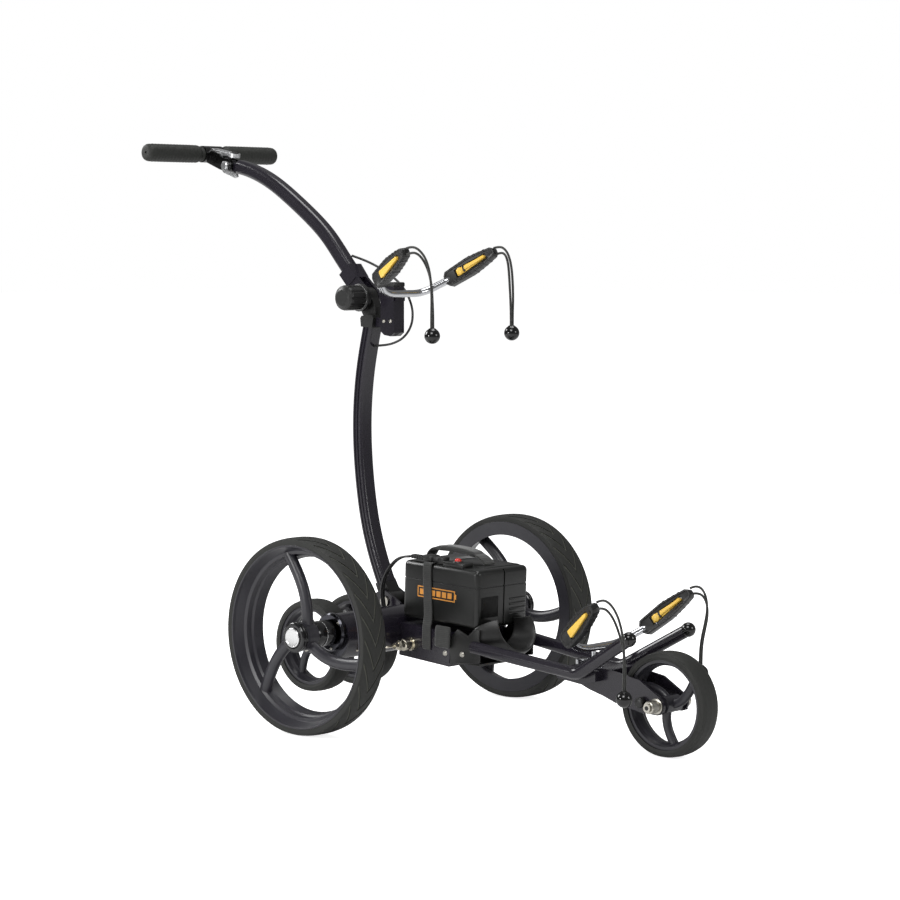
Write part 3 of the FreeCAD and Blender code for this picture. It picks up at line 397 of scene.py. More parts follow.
# Drive tyres. Solid rubber, moulded with a row of V-shaped grooves whose points lead down the
# front; the band is pressed on the rim.
TYRE_R = 157.5
TREAD_HALF = 22.0            # half the width of the grooved band
CROWN = 1.9                  # how far the tread falls at the band's edges, mm
GROOVE_OFFSET = 1.5          # from a groove's middle line to its edge
GROOVE_DEPTH = 1.1
V_COUNT = 26                 # grooves round the tyre
V_LENGTH = 48.0              # how far a groove's ends lead its point, mm
V_STEPS = 10                 # turning steps from one groove to the next
DRIVE_WHEELS = (("right", -248.0), ("left", 248.0))

# Tyre rubber: charcoal with a green-brown cast, dull, with a fine mould grain; grit that has worked
# into the grooves makes them paler.
rubber = moulded("tyre_rubber", "#0F100D", "#191A16", 0.9, (0.58, 0.76), 0.12, edge=0)
tree = rubber.node_tree
skin_shade = next(node for node in tree.nodes if node.bl_idname == "ShaderNodeBsdfPrincipled")
base = skin_shade.inputs["Base Color"].links[0].from_socket
groove = add(tree, "Attribute", attribute_name="groove")
grit = add(tree, "MixRGB", {"Color2": linear("#42433C")},
           {"Fac": groove.outputs["Fac"], "Color1": base})
tree.links.new(grit.outputs["Color"], skin_shade.inputs["Base Color"])
dress(rubber, "front_tyre", "antitip_tyres")


def chevron_tyre(name, y_mid):
    """Tyre turned from a V-shaped profile, so that its cross lines are the grooves' lines."""
    across = [i * 2.2 for i in range(-10, 11)]
    profile = [(146.05, -24.0), (150.5, -25.0), (154.6, -24.7)]
    profile += [(TYRE_R - CROWN * abs(y / TREAD_HALF) ** 3, y) for y in across]
    profile += [(154.6, 24.7), (150.5, 25.0), (146.05, 24.0)]
    lead = [min(abs(y), TREAD_HALF) / TREAD_HALF * V_LENGTH / TYRE_R if r > 155
            else V_LENGTH / TYRE_R for r, y in profile]
    points = [at(r * math.cos(a), y_mid + y, TYRE_R + r * math.sin(a))
              for (r, y), a in zip(profile, lead)]
    inside = profile[-1][0]
    points.append(at(inside * math.cos(lead[0]), y_mid - 24.0, TYRE_R + inside * math.sin(lead[0])))
    centre = at(0, y_mid, TYRE_R)
    tyre = spun(name, points, centre, V_COUNT * V_STEPS)
    step = 2 * math.pi / (V_COUNT * V_STEPS)

    def turn_index(place):
        """Which turning step a tread vertex belongs to, or None off the tread."""
        x, y, z = (place - centre) / MM
        if abs(y) > 22.3 or math.hypot(x, z) < 154.9:
            return None
        angle = math.atan2(z, x) - abs(y) / TREAD_HALF * V_LENGTH / TYRE_R
        return round(angle / step) % V_STEPS

    mesh = tyre.data
    for edge in mesh.edges:
        ends = [turn_index(mesh.vertices[v].co) for v in edge.vertices]
        edge.select = ends[0] == 0 and ends[1] == 0
    for polygon in mesh.polygons:
        polygon.select = False
    for vertex in mesh.vertices:
        vertex.select = False
    for edge in mesh.edges:
        if edge.select:
            for v in edge.vertices:
                mesh.vertices[v].select = True
    bpy.ops.object.select_all(action="DESELECT")
    tyre.select_set(True)
    bpy.context.view_layer.objects.active = tyre
    bpy.ops.object.mode_set(mode="EDIT")
    bpy.ops.mesh.select_mode(type="EDGE")
    bpy.ops.mesh.bevel(offset=GROOVE_OFFSET * MM, segments=1, affect="EDGES")
    bpy.ops.mesh.select_mode(type="FACE")
    bpy.ops.mesh.extrude_region_shrink_fatten(
        TRANSFORM_OT_shrink_fatten={"value": -GROOVE_DEPTH * MM})
    bpy.ops.mesh.select_all(action="DESELECT")
    bpy.ops.mesh.select_mode(type="VERT")
    bpy.ops.object.mode_set(mode="OBJECT")
    marked = mesh.attributes.new("groove", "FLOAT", "FACE")
    for polygon, value in zip(mesh.polygons, marked.data):
        x, y, z = (polygon.center - centre) / MM
        floor_r = TYRE_R - CROWN * abs(y / TREAD_HALF) ** 3 - 0.6
        value.value = 1.0 if abs(y) < 21.8 and 153.0 < math.hypot(x, z) < floor_r else 0.0
    return softened(tyre, 0)


for side_name, y_mid in DRIVE_WHEELS:
    fitted(chevron_tyre(side_name + "_grooved_tyre", y_mid), side_name + "_drive_wheel",
           "tyre_rubber", rubber, side_name + "_tyre")

# Drive wheel hubs. A black lacquered barrel slides on the motor shaft, and a push-button cap with a
# bright disc releases the wheel; a thin bright ring marks where barrel and bush meet.
# Gloss lacquer on turned aluminium: deep black with sharp reflections.
lacquer = moulded("gloss_black_lacquer", "#0B0B0C", "#141416", 3.0, (0.1, 0.18), 0.01)
# Bare turned aluminium: pale grey, turned marks blur its gloss.
turned_aluminium = moulded("turned_aluminium", "#C9C9C9", "#DCDCDC", 0.6, (0.18, 0.34), 0.01,
                           1.45, 0.3, 1.0)
HUB_PROFILE = [(16.0, 14.1), (21.0, 14.1), (24.0, 16.5), (24.0, 20.0), (23.2, 20.4), (23.2, 21.2),
               (24.0, 21.6), (24.0, 25.0), (22.0, 27.0), (17.0, 27.0), (16.2, 26.2), (0, 26.2)]
BARREL_PROFILE = [(0, -92.0), (6.0, -92.0), (6.0, -49.0), (20.0, -49.0), (21.0, -48.0),
                  (21.0, -31.0), (20.3, -30.6), (20.3, -29.0), (21.0, -28.6), (21.0, -11.1),
                  (16.0, -11.1), (16.0, 14.1)]
for side_name, y_mid in DRIVE_WHEELS:
    way = 1 if y_mid > 0 else -1
    centre = at(0, y_mid, TYRE_R)
    points = [at(0, y_mid + way * y, TYRE_R + r) for r, y in BARREL_PROFILE + HUB_PROFILE[1:]]
    barrel = softened(spun(side_name + "_hub_barrel", points, centre, 64), 0.5)
    fitted(barrel, side_name + "_drive_wheel", "black_metal", lacquer, side_name + "_hub")
    disc = [(0, 26.3), (15.6, 26.3), (15.6, 28.8), (14.6, 29.6), (13.4, 29.6), (12.8, 29.2),
            (0, 29.2)]
    points = [at(0, y_mid + way * y, TYRE_R + r) for r, y in disc]
    cap = softened(spun(side_name + "_release_cap", points, centre, 64), 0.25)
    fitted(cap, side_name + "_drive_wheel", "satin_metal", turned_aluminium)
    ring = [(20.4, -30.3), (21.3, -30.3), (21.3, -29.3), (20.4, -29.3), (20.4, -30.3)]
    points = [at(0, y_mid + way * y, TYRE_R + r) for r, y in ring]
    band = softened(spun(side_name + "_hub_ring", points, centre, 64), 0)
    fitted(band, side_name + "_drive_wheel", "satin_metal", turned_aluminium)

# Frame, shaft and handle. Steel tube and plate, bent and welded into the axle housing, the frame
# box, the arms and the two folding tubes, then powder coated in one colour.
# Powder coat: warm charcoal with a violet cast, satin, fine orange peel.
powder = moulded("charcoal_powder_coat", "#17141B", "#201D26", 1.1, (0.18, 0.28), 0.04, edge=0)
dress(powder, "axle_housing", "hinge_gussets", "frame_box", "horn_tubes", "front_yoke",
      "main_shaft", "handle_tube", "bracket_pillar", "antitip_arm", "handle_clevis")

# Geared motors. Each motor with its gearbox is a plated can inside the housing tube, closed by a
# bright flange at the tube's end.
# Black-nickelled gearbox: dark mirror.
black_nickel = moulded("black_nickel_plate", "#3A3A3E", "#48484D", 2.0, (0.14, 0.24), 0.01,
                       1.45, 0.5, 1.0)
dress(black_nickel, "geared_motors")

# Screws, hinge pin and axles. Turned steel, zinc plated against rust, and put in through the
# welded frame.
# Zinc-plated steel: pale, slightly yellow, soft gloss.
zinc = moulded("zinc_plated_steel", "#AAA79F", "#C2BFB6", 0.8, (0.25, 0.4), 0.02, 1.45, 0.3, 1.0)
dress(zinc, "frame_screws", "lower_hinge_pin", "front_axle", "antitip_axle")

# Cable connector. A turned metal plug and socket on the frame box's side, with the motor's lead
# going into it.
# Bright nickel on a turned connector: warm mirror.
nickel = moulded("bright_nickel_plate", "#CFC8B8", "#E2DCCB", 1.2, (0.12, 0.25), 0.01,
                 1.45, 0.3, 1.0)
dress(nickel, "cable_connector")

# Bag bracket rods. Solid steel rod, 12 mm thick, bent to a shallow cradle and hard chromed, with a
# chromed thumb knob.
# Hard chrome on bent rod: cool mirror with faint polishing haze.
chrome = moulded("hard_chrome_plate", "#B4B5B8", "#C6C7CA", 2.2, (0.08, 0.18), 0.006, 1.45, 0, 1.0)
dress(chrome, "upper_bag_bracket", "lower_bag_bracket", "bracket_knob")

# Control plate and clamp lever. Cut and bent aluminium on the handle's end, anodised in its own
# colour.
# Satin anodised aluminium: soft silver.
anodised = moulded("satin_anodised_aluminium", "#B9BABB", "#CCCDCE", 0.5, (0.28, 0.42), 0.01,
                   1.45, 0.4, 1.0)
dress(anodised, "control_plate", "clamp_lever")

# Moulded fittings. The shaft's foot and joint, the folding knob, the dial and other black plastic
# pieces are injection moulded and screwed or pressed on.
# Textured ABS: near black, dull satin.
abs_black = moulded("textured_black_abs", "#080808", "#0F0F0E", 0.8, (0.34, 0.5), 0.06)
dress(abs_black, "front_saddle", "shaft_foot", "shaft_joint", "lock_knob", "speed_controller",
      "speed_dial", "battery_plug", "upper_holders", "lower_holders", "battery_case")

# Horn ends and grip bar. Black phenolic balls close the horn tubes, and the same gloss finishes the
# bar between the grips.
dress(phenolic, "horn_end_balls", "grip_bar")

# Bag holders and strap levers. Each holder is a ribbed block of black nylon moulded round the end
# of the bracket rod; a golden lever turns on a pin in its slot and locks the bungee loop.
# Acetal levers: golden yellow, half gloss.
acetal = moulded("golden_acetal", "#E2B23C", "#EFC95A", 1.6, (0.3, 0.42), 0.03)
dress(acetal, "upper_right_lever", "upper_left_lever", "lower_right_lever", "lower_left_lever")
HOLDER_PLACES = {"upper": ((5.0, 84.3, 719.5), (80.6, 104.5, 763.0)),
                 "lower": ((417.3, 94.6, 177.4), (485.9, 115.9, 235.1))}
HOLDER_BODY = {"upper": "shaft", "lower": "frame"}
HOLDER_HALF = 7.5            # half its thickness
LEVER_HEAD = 24              # middle of a lever's round head, along its holder
LEVER_PIN = (21.5, 3.5)      # lever's hinge pin: along the holder, and out towards its face
LEVER_PIN_R = 1.6


def block(name, x, y, z, bevel=0.0):
    """A block between two x, two y and two z values, in mm of the piece's own frame."""
    bpy.ops.object.select_all(action="DESELECT")
    middle = [sum(pair) / 2 * MM for pair in (x, y, z)]
    size = [(pair[1] - pair[0]) * MM for pair in (x, y, z)]
    bpy.ops.mesh.primitive_cube_add(size=1, location=middle, scale=size)
    bpy.ops.object.transform_apply(location=True, rotation=True, scale=True)
    piece = bpy.context.object
    piece.name = name
    return softened(piece, bevel) if bevel else piece


def cut_out(name, outline, y0, y1, bevel=0.0):
    """A plate with an (x, z) outline between two y values, in mm of the piece's own frame."""
    piece = drawn(name, [Vector((x, y0, z)) * MM for x, z in outline])
    bpy.ops.mesh.select_all(action="SELECT")
    bpy.ops.mesh.edge_face_add()
    bpy.ops.mesh.extrude_region_move(TRANSFORM_OT_translate={"value": (0, (y1 - y0) * MM, 0)})
    bpy.ops.mesh.select_all(action="SELECT")
    bpy.ops.mesh.normals_make_consistent(inside=False)
    bpy.ops.object.mode_set(mode="OBJECT")
    return softened(piece, bevel) if bevel else piece


def joined(first, *others):
    """Several meshes as one piece."""
    bpy.ops.object.select_all(action="DESELECT")
    for piece in (first, *others):
        piece.select_set(True)
    bpy.context.view_layer.objects.active = first
    bpy.ops.object.join()
    return first


def carved(piece, cutter):
    """The piece with the cutter's shape taken out of it."""
    bpy.ops.object.select_all(action="DESELECT")
    piece.select_set(True)
    bpy.context.view_layer.objects.active = piece
    carving = piece.modifiers.new("carving", "BOOLEAN")
    carving.object = cutter
    carving.operation = "DIFFERENCE"
    carving.solver = "EXACT"
    bpy.ops.object.modifier_apply(modifier=carving.name)
    bpy.data.objects.remove(cutter)
    return piece


def flipped(piece):
    """The piece for the other side of the trolley."""
    piece.data.transform(Matrix.Scale(-1, 4, (0, 1, 0)))
    piece.data.flip_normals()
    return piece


def on_arm(piece, level, side):
    """Moves a piece drawn along a holder onto the bracket's arm."""
    inner, outer = (Vector(p) for p in HOLDER_PLACES[level])
    along = (outer - inner).normalized()
    up = Vector((-along.z, 0, along.x)).normalized()
    face = up.cross(along).normalized()
    turn = Matrix((along, face, up)).transposed().to_4x4()
    piece.data.transform(Matrix.Translation(at(*inner)) @ turn)
    return piece if side > 0 else flipped(piece)


def holder_block(name):
    """Holder with a rim on each face, a row of ribs on each long edge and a slot for the lever."""
    outline = [(-8, -7), (-3, -13.2), (20, -14.2), (42, -15), (66, -12.4), (90, -8.4), (94.5, -4),
               (94.5, 4), (90, 8.4), (66, 12.4), (42, 15), (20, 14.2), (-3, 13.2), (-8, 7)]
    body = cut_out(name, outline, -HOLDER_HALF, HOLDER_HALF)
    bpy.ops.object.mode_set(mode="EDIT")
    bpy.ops.mesh.select_mode(type="FACE")
    bpy.ops.mesh.select_all(action="DESELECT")
    bpy.ops.object.mode_set(mode="OBJECT")
    for polygon in body.data.polygons:
        polygon.select = abs(polygon.normal.y) > 0.9
    bpy.ops.object.mode_set(mode="EDIT")
    bpy.ops.mesh.inset(thickness=3.4 * MM, use_individual=True)
    bpy.ops.mesh.extrude_region_shrink_fatten(TRANSFORM_OT_shrink_fatten={"value": -1.3 * MM})
    bpy.ops.object.mode_set(mode="OBJECT")
    slot = [(14.0, -7.4), (77.5, -4.2), (77.5, 4.2), (14.0, 7.4)]
    softened(carved(body, cut_out("slot", slot, -20, 20)), 0.7)
    ribs = []
    for i in range(8):
        u = 8 + 9.6 * i
        half = 14.6 - 0.4 * abs(i - 3.5) - (0.9 * (i - 4) if i > 4 else 0)
        for way in (-1, 1):
            low, high = sorted((way * (half - 3.5), way * (half + 0.3)))
            ribs.append(block("rib", (u, u + 4.2), (-8.1, 8.1), (low, high), 0.4))
    return joined(body, *ribs)


def lever_piece(name):
    """Lever: a plain tapered tongue outside; a round head and a plain rounded stem inside."""
    outline = [(17, -4.6), (19, -6.2), (25, -6.0), (74, -2.6), (76, -1.2), (76, 1.2), (74, 2.6),
               (25, 6.0), (19, 6.2), (17, 4.6)]
    tongue = cut_out(name, outline, -7.0, 8.9, 0.8)
    parts = [block("stem", (33, 75), (-9.2, -6.5), (-2.8, 2.8), 1.6)]
    rings = [(0, -9.4), (4.6, -9.4), (6.3, -8.4), (6.6, -6.8), (0, -6.8)]
    points = [Vector((LEVER_HEAD + r, y, 0)) * MM for r, y in rings]
    parts.append(softened(spun("head", points, Vector((LEVER_HEAD, 0, 0)) * MM, 32), 0.3))
    pin = [(0, -9.2), (LEVER_PIN_R, -9.2), (LEVER_PIN_R, 9.2), (0, 9.2)]
    points = [Vector((LEVER_PIN[0] + r, LEVER_PIN[1], z)) * MM for r, z in pin]
    parts.append(spun("pin", points, Vector((*LEVER_PIN, 0)) * MM, 20, (0, 0, 1)))
    return joined(tongue, *parts)


for level in ("upper", "lower"):
    for side_name, side in (("right", -1), ("left", 1)):
        label = "%s_%s" % (level, side_name)
        fitted(on_arm(holder_block(label + "_strap_holder"), level, side), HOLDER_BODY[level],
               "black_plastic", abs_black, level + "_holders")
        fitted(on_arm(lever_piece(label + "_golden_lever"), level, side), label + "_strap_lever",
               "lever_yellow", acetal, label + "_lever")
        collar = block(label + "_lever_band", (31, 34), (-9.3, -6.6), (-5.2, 5.2), 0.5)
        fitted(on_arm(collar, level, side), label + "_strap_lever", "black_plastic", abs_black)

# Battery. A blow-moulded case of black ABS in two halves, with a lid, a finger recess and cooling
# fins on its nose, a red reset button on a boss, and a charge symbol printed on its side.
# Shrink wrap on the hidden cells: blue, half gloss.
wrap = moulded("cell_shrink_wrap", "#1E3C66", "#274C7E", 2.0, (0.25, 0.4), 0.02)
dress(wrap, "battery_cells")
BATTERY_AT = at(32.0, 0, 171.5)
BATTERY_TILT = math.radians(2.2)
CASE_L, CASE_HALF, CASE_H = 164.0, 61.0, 95.0
BUTTON_X, BUTTON_Y = 106, -45  # the reset button's upright line
WELL_R = 5.9                 # hole that the button sinks into


def on_battery(piece):
    """Moves a piece drawn from the battery's rear lower edge onto the sloping frame."""
    piece.data.transform(Matrix.Translation(BATTERY_AT) @ Matrix.Rotation(BATTERY_TILT, 4, "Y"))
    return piece


def pressed(piece, test, depth):
    """Sinks or, with a negative depth, raises the faces whose middle and normal pass the test."""
    bpy.ops.object.select_all(action="DESELECT")
    piece.select_set(True)
    bpy.context.view_layer.objects.active = piece
    for vertex in piece.data.vertices:
        vertex.select = False
    for edge in piece.data.edges:
        edge.select = False
    for polygon in piece.data.polygons:
        polygon.select = test(polygon.center / MM, polygon.normal)
    bpy.ops.object.mode_set(mode="EDIT")
    bpy.ops.mesh.select_mode(type="FACE")
    bpy.ops.mesh.extrude_region_shrink_fatten(TRANSFORM_OT_shrink_fatten={"value": -depth * MM})
    bpy.ops.object.mode_set(mode="OBJECT")


def sliced(piece, places, axis):
    """Cuts lines round a piece at places along an axis, in mm."""
    bpy.ops.object.select_all(action="DESELECT")
    piece.select_set(True)
    bpy.context.view_layer.objects.active = piece
    bpy.ops.object.mode_set(mode="EDIT")
    for place in places:
        bpy.ops.mesh.select_all(action="SELECT")
        bpy.ops.mesh.bisect(plane_co=Vector(axis) * place * MM, plane_no=axis)
    bpy.ops.object.mode_set(mode="OBJECT")


case = block("battery_shell", (0, CASE_L), (-CASE_HALF, CASE_HALF), (0, CASE_H))
softened(case, 8.0, 5)
sliced(case, (66.0, 68.0), (0, 0, 1))
sliced(case, (1.0, 4.0), (0, 1, 0))
pressed(case, lambda c, n: 66 < c.z < 68 and abs(n.z) < 0.5, 1.2)
pressed(case, lambda c, n: 1 < c.y < 4 and n.x > 0.5, 2.2)
softened(case, 0, 2, 40)
recess = block("nose_panel", (CASE_L - 1, CASE_L), (-52, -10), (18, 52), 0.8)
fins = [block("fin", (CASE_L - 2, CASE_L + 1.1), (16, 54), (z, z + 3.6), 1.0)
        for z in (18, 26, 34, 42)]
boss = block("button_boss", (84, 128), (-57, -33), (CASE_H - 1, CASE_H + 7), 1.6)


def button_well():
    """Cutter for the hole that the reset button sinks into."""
    rings = [(0, CASE_H - 2.6), (WELL_R, CASE_H - 2.6), (WELL_R, CASE_H + 12), (0, CASE_H + 12)]
    line = [Vector((BUTTON_X + r, BUTTON_Y, z)) * MM for r, z in rings]
    return spun("well", line, Vector((BUTTON_X, BUTTON_Y, 0)) * MM, 40, (0, 0, 1))


carved(case, button_well())
carved(boss, button_well())
well = [(WELL_R, CASE_H + 6.5), (WELL_R, CASE_H + 8.6), (8.2, CASE_H + 8.6), (9.4, CASE_H + 6.5)]
points = [Vector((BUTTON_X + r, BUTTON_Y, z)) * MM for r, z in well]
lip = softened(spun("button_lip", points, Vector((BUTTON_X, BUTTON_Y, 0)) * MM, 40, (0, 0, 1)),
               0.3)
lid = block("lid_panel", (14, 150), (-28, 54), (CASE_H - 1, CASE_H + 1.0), 0.9)
case = on_battery(joined(case, recess, *fins, boss, lip, lid))
# Smooth black ABS: almost mirror-like on its edges, dull on its broad faces.
case_abs = moulded("smooth_black_abs", "#060706", "#0B0C0A", 1.6, (0.26, 0.4), 0.03)
fitted(case, "battery", "battery_case", case_abs, "battery_case")
INK = (-61.25, -60.9)         # a film on the case's right side
LEFT, RIGHT, LOW, HIGH = 34.0, 116.0, 39.0, 57.0
marks = [block("mark_top", (LEFT, RIGHT), INK, (HIGH - 1.8, HIGH)),
         block("mark_base", (LEFT, RIGHT), INK, (LOW, LOW + 1.8)),
         block("mark_rear", (LEFT, LEFT + 1.8), INK, (LOW + 1.8, HIGH - 1.8)),
         block("mark_front", (RIGHT - 1.8, RIGHT), INK, (LOW + 1.8, HIGH - 1.8)),
         block("mark_pole", (RIGHT, RIGHT + 3), INK, (LOW + 5, HIGH - 5))]
marks += [block("mark_bar", (LEFT + 5 + 12.2 * i, LEFT + 14 + 12.2 * i), INK,
                (LOW + 4.4, HIGH - 4.4)) for i in range(6)]
# Screen-printed ink: flat orange, slightly raised.
ink = moulded("orange_printing_ink", "#C8822E", "#D8923A", 1.0, (0.45, 0.6), 0.01)
fitted(on_battery(joined(*marks)), "battery", "lever_yellow", ink)

# Battery plug and reset button. The plug is a two-pole moulding with a waisted grip and a ribbed
# strain relief on each lead; the button is a soft red dome.
# Moulded button plastic: clear red, glossy.
red_cap = moulded("red_button_plastic", "#B81C12", "#CF2A1C", 1.5, (0.2, 0.3), 0.01)
dress(red_cap, "reset_button")
above = CASE_H + 2.6
plug = [block("plug_body", (40, 60), (-59, -37), (above, above + 10), 2.4),
        block("plug_waist", (56, 72), (-56.5, -40), (above + 0.4, above + 8.6), 2.2),
        block("plug_nose", (66, 83), (-55, -39.5), (CASE_H + 0.2, above + 9.4), 1.6)]
for y in (-54, -48.8):
    for i in range(5):
        plug.append(block("relief_ring", (13 + 5.4 * i, 16.6 + 5.4 * i), (y - 3.3, y + 3.3),
                          (above + 0.6, above + 7.2), 1.2))
    plug.append(block("relief_core", (11, 41), (y - 2.6, y + 2.6), (above + 1.4, above + 6.4), 1.4))
fitted(on_battery(joined(*plug)), "battery", "black_plastic", abs_black, "battery_plug")
dome = [(0, 95.5), (5.5, 95.5), (5.5, 103.4), (5.1, 105.6), (3.9, 107.0), (2.0, 107.6), (0, 107.8)]
points = [Vector((BUTTON_X + r, BUTTON_Y, z)) * MM for r, z in dome]
button = softened(spun("reset_dome", points, Vector((BUTTON_X, BUTTON_Y, 0)) * MM, 36, (0, 0, 1)),
                  0.2, 2, 40)
fitted(on_battery(button), "button", "button_red", red_cap, "reset_button")

# Battery straps. Woven nylon webbing: a slanting hold-down strap over the case and round the frame
# box's sides, its sewn tab, and a doubled carry strap on top.
def ribbon(name, line, across, width, thick):
    """Webbing along a line of places, with its width along a fixed direction."""
    rows, columns = len(line), 7
    bpy.ops.object.select_all(action="DESELECT")
    bpy.ops.mesh.primitive_grid_add(x_subdivisions=columns - 1, y_subdivisions=rows - 1, size=1)
    piece = bpy.context.object
    piece.name = name
    side = Vector(across).normalized()
    for row, place in enumerate(line):
        for column in range(columns):
            share = column / (columns - 1) - 0.5
            vertex = piece.data.vertices[row * columns + column]
            vertex.co = (Vector(place) + side * share * width) * MM
    wall = piece.modifiers.new("thickness", "SOLIDIFY")
    wall.thickness = thick * MM
    wall.offset = 0
    bpy.ops.object.modifier_apply(modifier=wall.name)
    smooth = piece.modifiers.new("smooth", "SUBSURF")
    smooth.levels = 2
    smooth.render_levels = 2
    bpy.ops.object.modifier_apply(modifier=smooth.name)
    bpy.ops.object.mode_set(mode="EDIT")
    bpy.ops.mesh.select_all(action="SELECT")
    bpy.ops.mesh.normals_make_consistent(inside=False)
    bpy.ops.object.mode_set(mode="OBJECT")
    bpy.ops.object.shade_smooth_by_angle(angle=math.radians(50))
    return piece


# Nylon webbing: ribs across the tape every 1.5 mm, dull, charcoal with paler worn threads.
tape, tree = start("woven_nylon_webbing")
place = add(tree, "TexCoord")
weft = add(tree, "TexWave", {"Scale": 105.0, "Distortion": 0.6, "Detail": 2.0},
           {"Vector": place.outputs["Object"]}, wave_type="BANDS", bands_direction="Z")
warp = add(tree, "TexWave", {"Scale": 120.0, "Distortion": 0.6, "Detail": 2.0},
           {"Vector": place.outputs["Object"]}, wave_type="BANDS", bands_direction="X")
weave = add(tree, "Math", links={0: weft.outputs["Fac"], 1: warp.outputs["Fac"]},
            operation="MULTIPLY")
shade = add(tree, "MixRGB", {"Color1": linear("#090A08"), "Color2": linear("#20211D")},
            {"Fac": weave.outputs["Value"]})
relief = add(tree, "Bump", {"Strength": 0.6, "Distance": 0.0004},
             {"Height": weave.outputs["Value"]})
body = add(tree, "BsdfPrincipled", {"Roughness": 0.82, "Sheen Weight": 0.35},
           {"Base Color": shade.outputs["Color"], "Normal": relief.outputs["Normal"]})
add(tree, "OutputMaterial", links={"Surface": body.outputs["BSDF"]})
dress(tape, "battery_handle", "battery_strap")

half_line = [(53.5, 0, 96.2), (53.5, 30, 96.2), (53.5, 54, 96.2), (54, 60, 95.8), (54.5, 62.2, 93),
             (55, 62.3, 80), (57, 62.4, 54), (59, 62.6, 28), (61, 63, 8), (61.5, 65, 0),
             (62, 67.6, -4), (62.4, 67.8, -12), (63, 67.8, -30), (63.5, 67.8, -44)]
strap_line = [(u, -y, w) for u, y, w in reversed(half_line)] + half_line[1:]
strap = on_battery(ribbon("hold_down_strap", strap_line, (1, 0, 0), 19, 1.5))
fitted(strap, "battery", "webbing", tape, "battery_strap")
tab_line = [(98, -67.9, -36), (98.5, -68.4, -26), (99, -69.0, -16), (99.5, -69.4, -8),
            (100, -68.2, 0)]
tab = on_battery(ribbon("strap_end_tab", tab_line, (1, 0, 0), 34, 2.2))
fitted(tab, "battery", "webbing", tape)
carry_line = [(4, 1, 97.4), (6, 1, 103), (12, 1, 109.4), (22, 1, 113.4), (44, 1, 115.6),
              (70, 1, 115.8), (94, 1, 114.4), (112, 1, 110.4), (124, 1, 105), (131, 1, 99),
              (134, 1, 97.4)]
carry = ribbon("carry_strap", carry_line, (0, 1, 0), 25, 3.2)
sleeve_line = [(u, y, w - 1.2) for u, y, w in carry_line[3:8]]
carry = joined(carry, ribbon("grip_sleeve", sleeve_line, (0, 1, 0), 26, 9))
fitted(on_battery(carry), "battery", "webbing", tape, "battery_handle")

# Front saddle. A hollow ABS moulding: flat cheeks hold the battery's nose and a rounded, scooped
# front carries the foot of the bag.
def scoop_shell(name):
    """Shell whose rows run from the scoop's inside, over its rim, to the outside."""
    rows = [(197, 197, 27, 167, 28), (208, 202, 29.5, 166, 30), (226, 211, 34, 166, 32.5),
            (239.5, 219.5, 38.4, 167, 34), (242.6, 222, 40.6, 168, 35.4),
            (243.4, 222.6, 42.4, 168, 37.4), (241.6, 221, 44.4, 167, 38.8),
            (232, 215.5, 49.5, 164.5, 43), (218, 208, 56.5, 160, 46.5),
            (203, 200.5, 62.4, 155.5, 46), (190, 192, 64.8, 152, 43)]
    rows.append(rows[0])
    columns = 33
    bpy.ops.object.select_all(action="DESELECT")
    bpy.ops.mesh.primitive_grid_add(x_subdivisions=columns - 1, y_subdivisions=len(rows) - 1,
                                    size=1)
    piece = bpy.context.object
    piece.name = name
    for row, (x_low, x_high, half, z_mid, deep) in enumerate(rows):
        for column in range(columns):
            angle = math.radians(-114 + 228 * column / (columns - 1))
            rise = (1 - math.cos(angle)) / 1.41
            place = at(x_low + (x_high - x_low) * rise, half * math.sin(angle),
                       z_mid - deep * math.cos(angle))
            piece.data.vertices[row * columns + column].co = place
    bpy.ops.object.mode_set(mode="EDIT")
    bpy.ops.mesh.select_all(action="SELECT")
    bpy.ops.mesh.remove_doubles(threshold=1e-6)
    bpy.ops.mesh.fill_holes(sides=0)
    bpy.ops.mesh.select_all(action="SELECT")
    bpy.ops.mesh.normals_make_consistent(inside=False)
    bpy.ops.object.mode_set(mode="OBJECT")
    bevel = piece.modifiers.new("lobe_edges", "BEVEL")
    bevel.width = 2.2 * MM
    bevel.segments = 3
    bevel.limit_method = "ANGLE"
    bevel.angle_limit = math.radians(48)
    bpy.ops.object.modifier_apply(modifier=bevel.name)
    smooth = piece.modifiers.new("smooth", "SUBSURF")
    smooth.levels = 1
    smooth.render_levels = 1
    bpy.ops.object.modifier_apply(modifier=smooth.name)
    bpy.ops.object.shade_smooth()
    return piece


cheeks = []
for low, high in ((-66.0, -61.7), (61.7, 66.0)):
    outline = [(143.2, 108), (143.2, 149), (160, 165), (182.5, 156), (196, 168), (206, 168),
               (206, 114)]
    cheek = cut_out("cheek", outline, low, high, 1.2)
    cheek.data.transform(Matrix.Translation(at(0, 0, 0)))
    cheeks.append(cheek)
under = block("saddle_floor", (150, 206), (-62, 62), (109, 113), 1.0)
under.data.transform(Matrix.Translation(at(0, 0, 0)))
saddle = joined(scoop_shell("bag_saddle"), *cheeks, under)
fitted(saddle, "frame", "black_plastic", abs_black, "front_saddle")

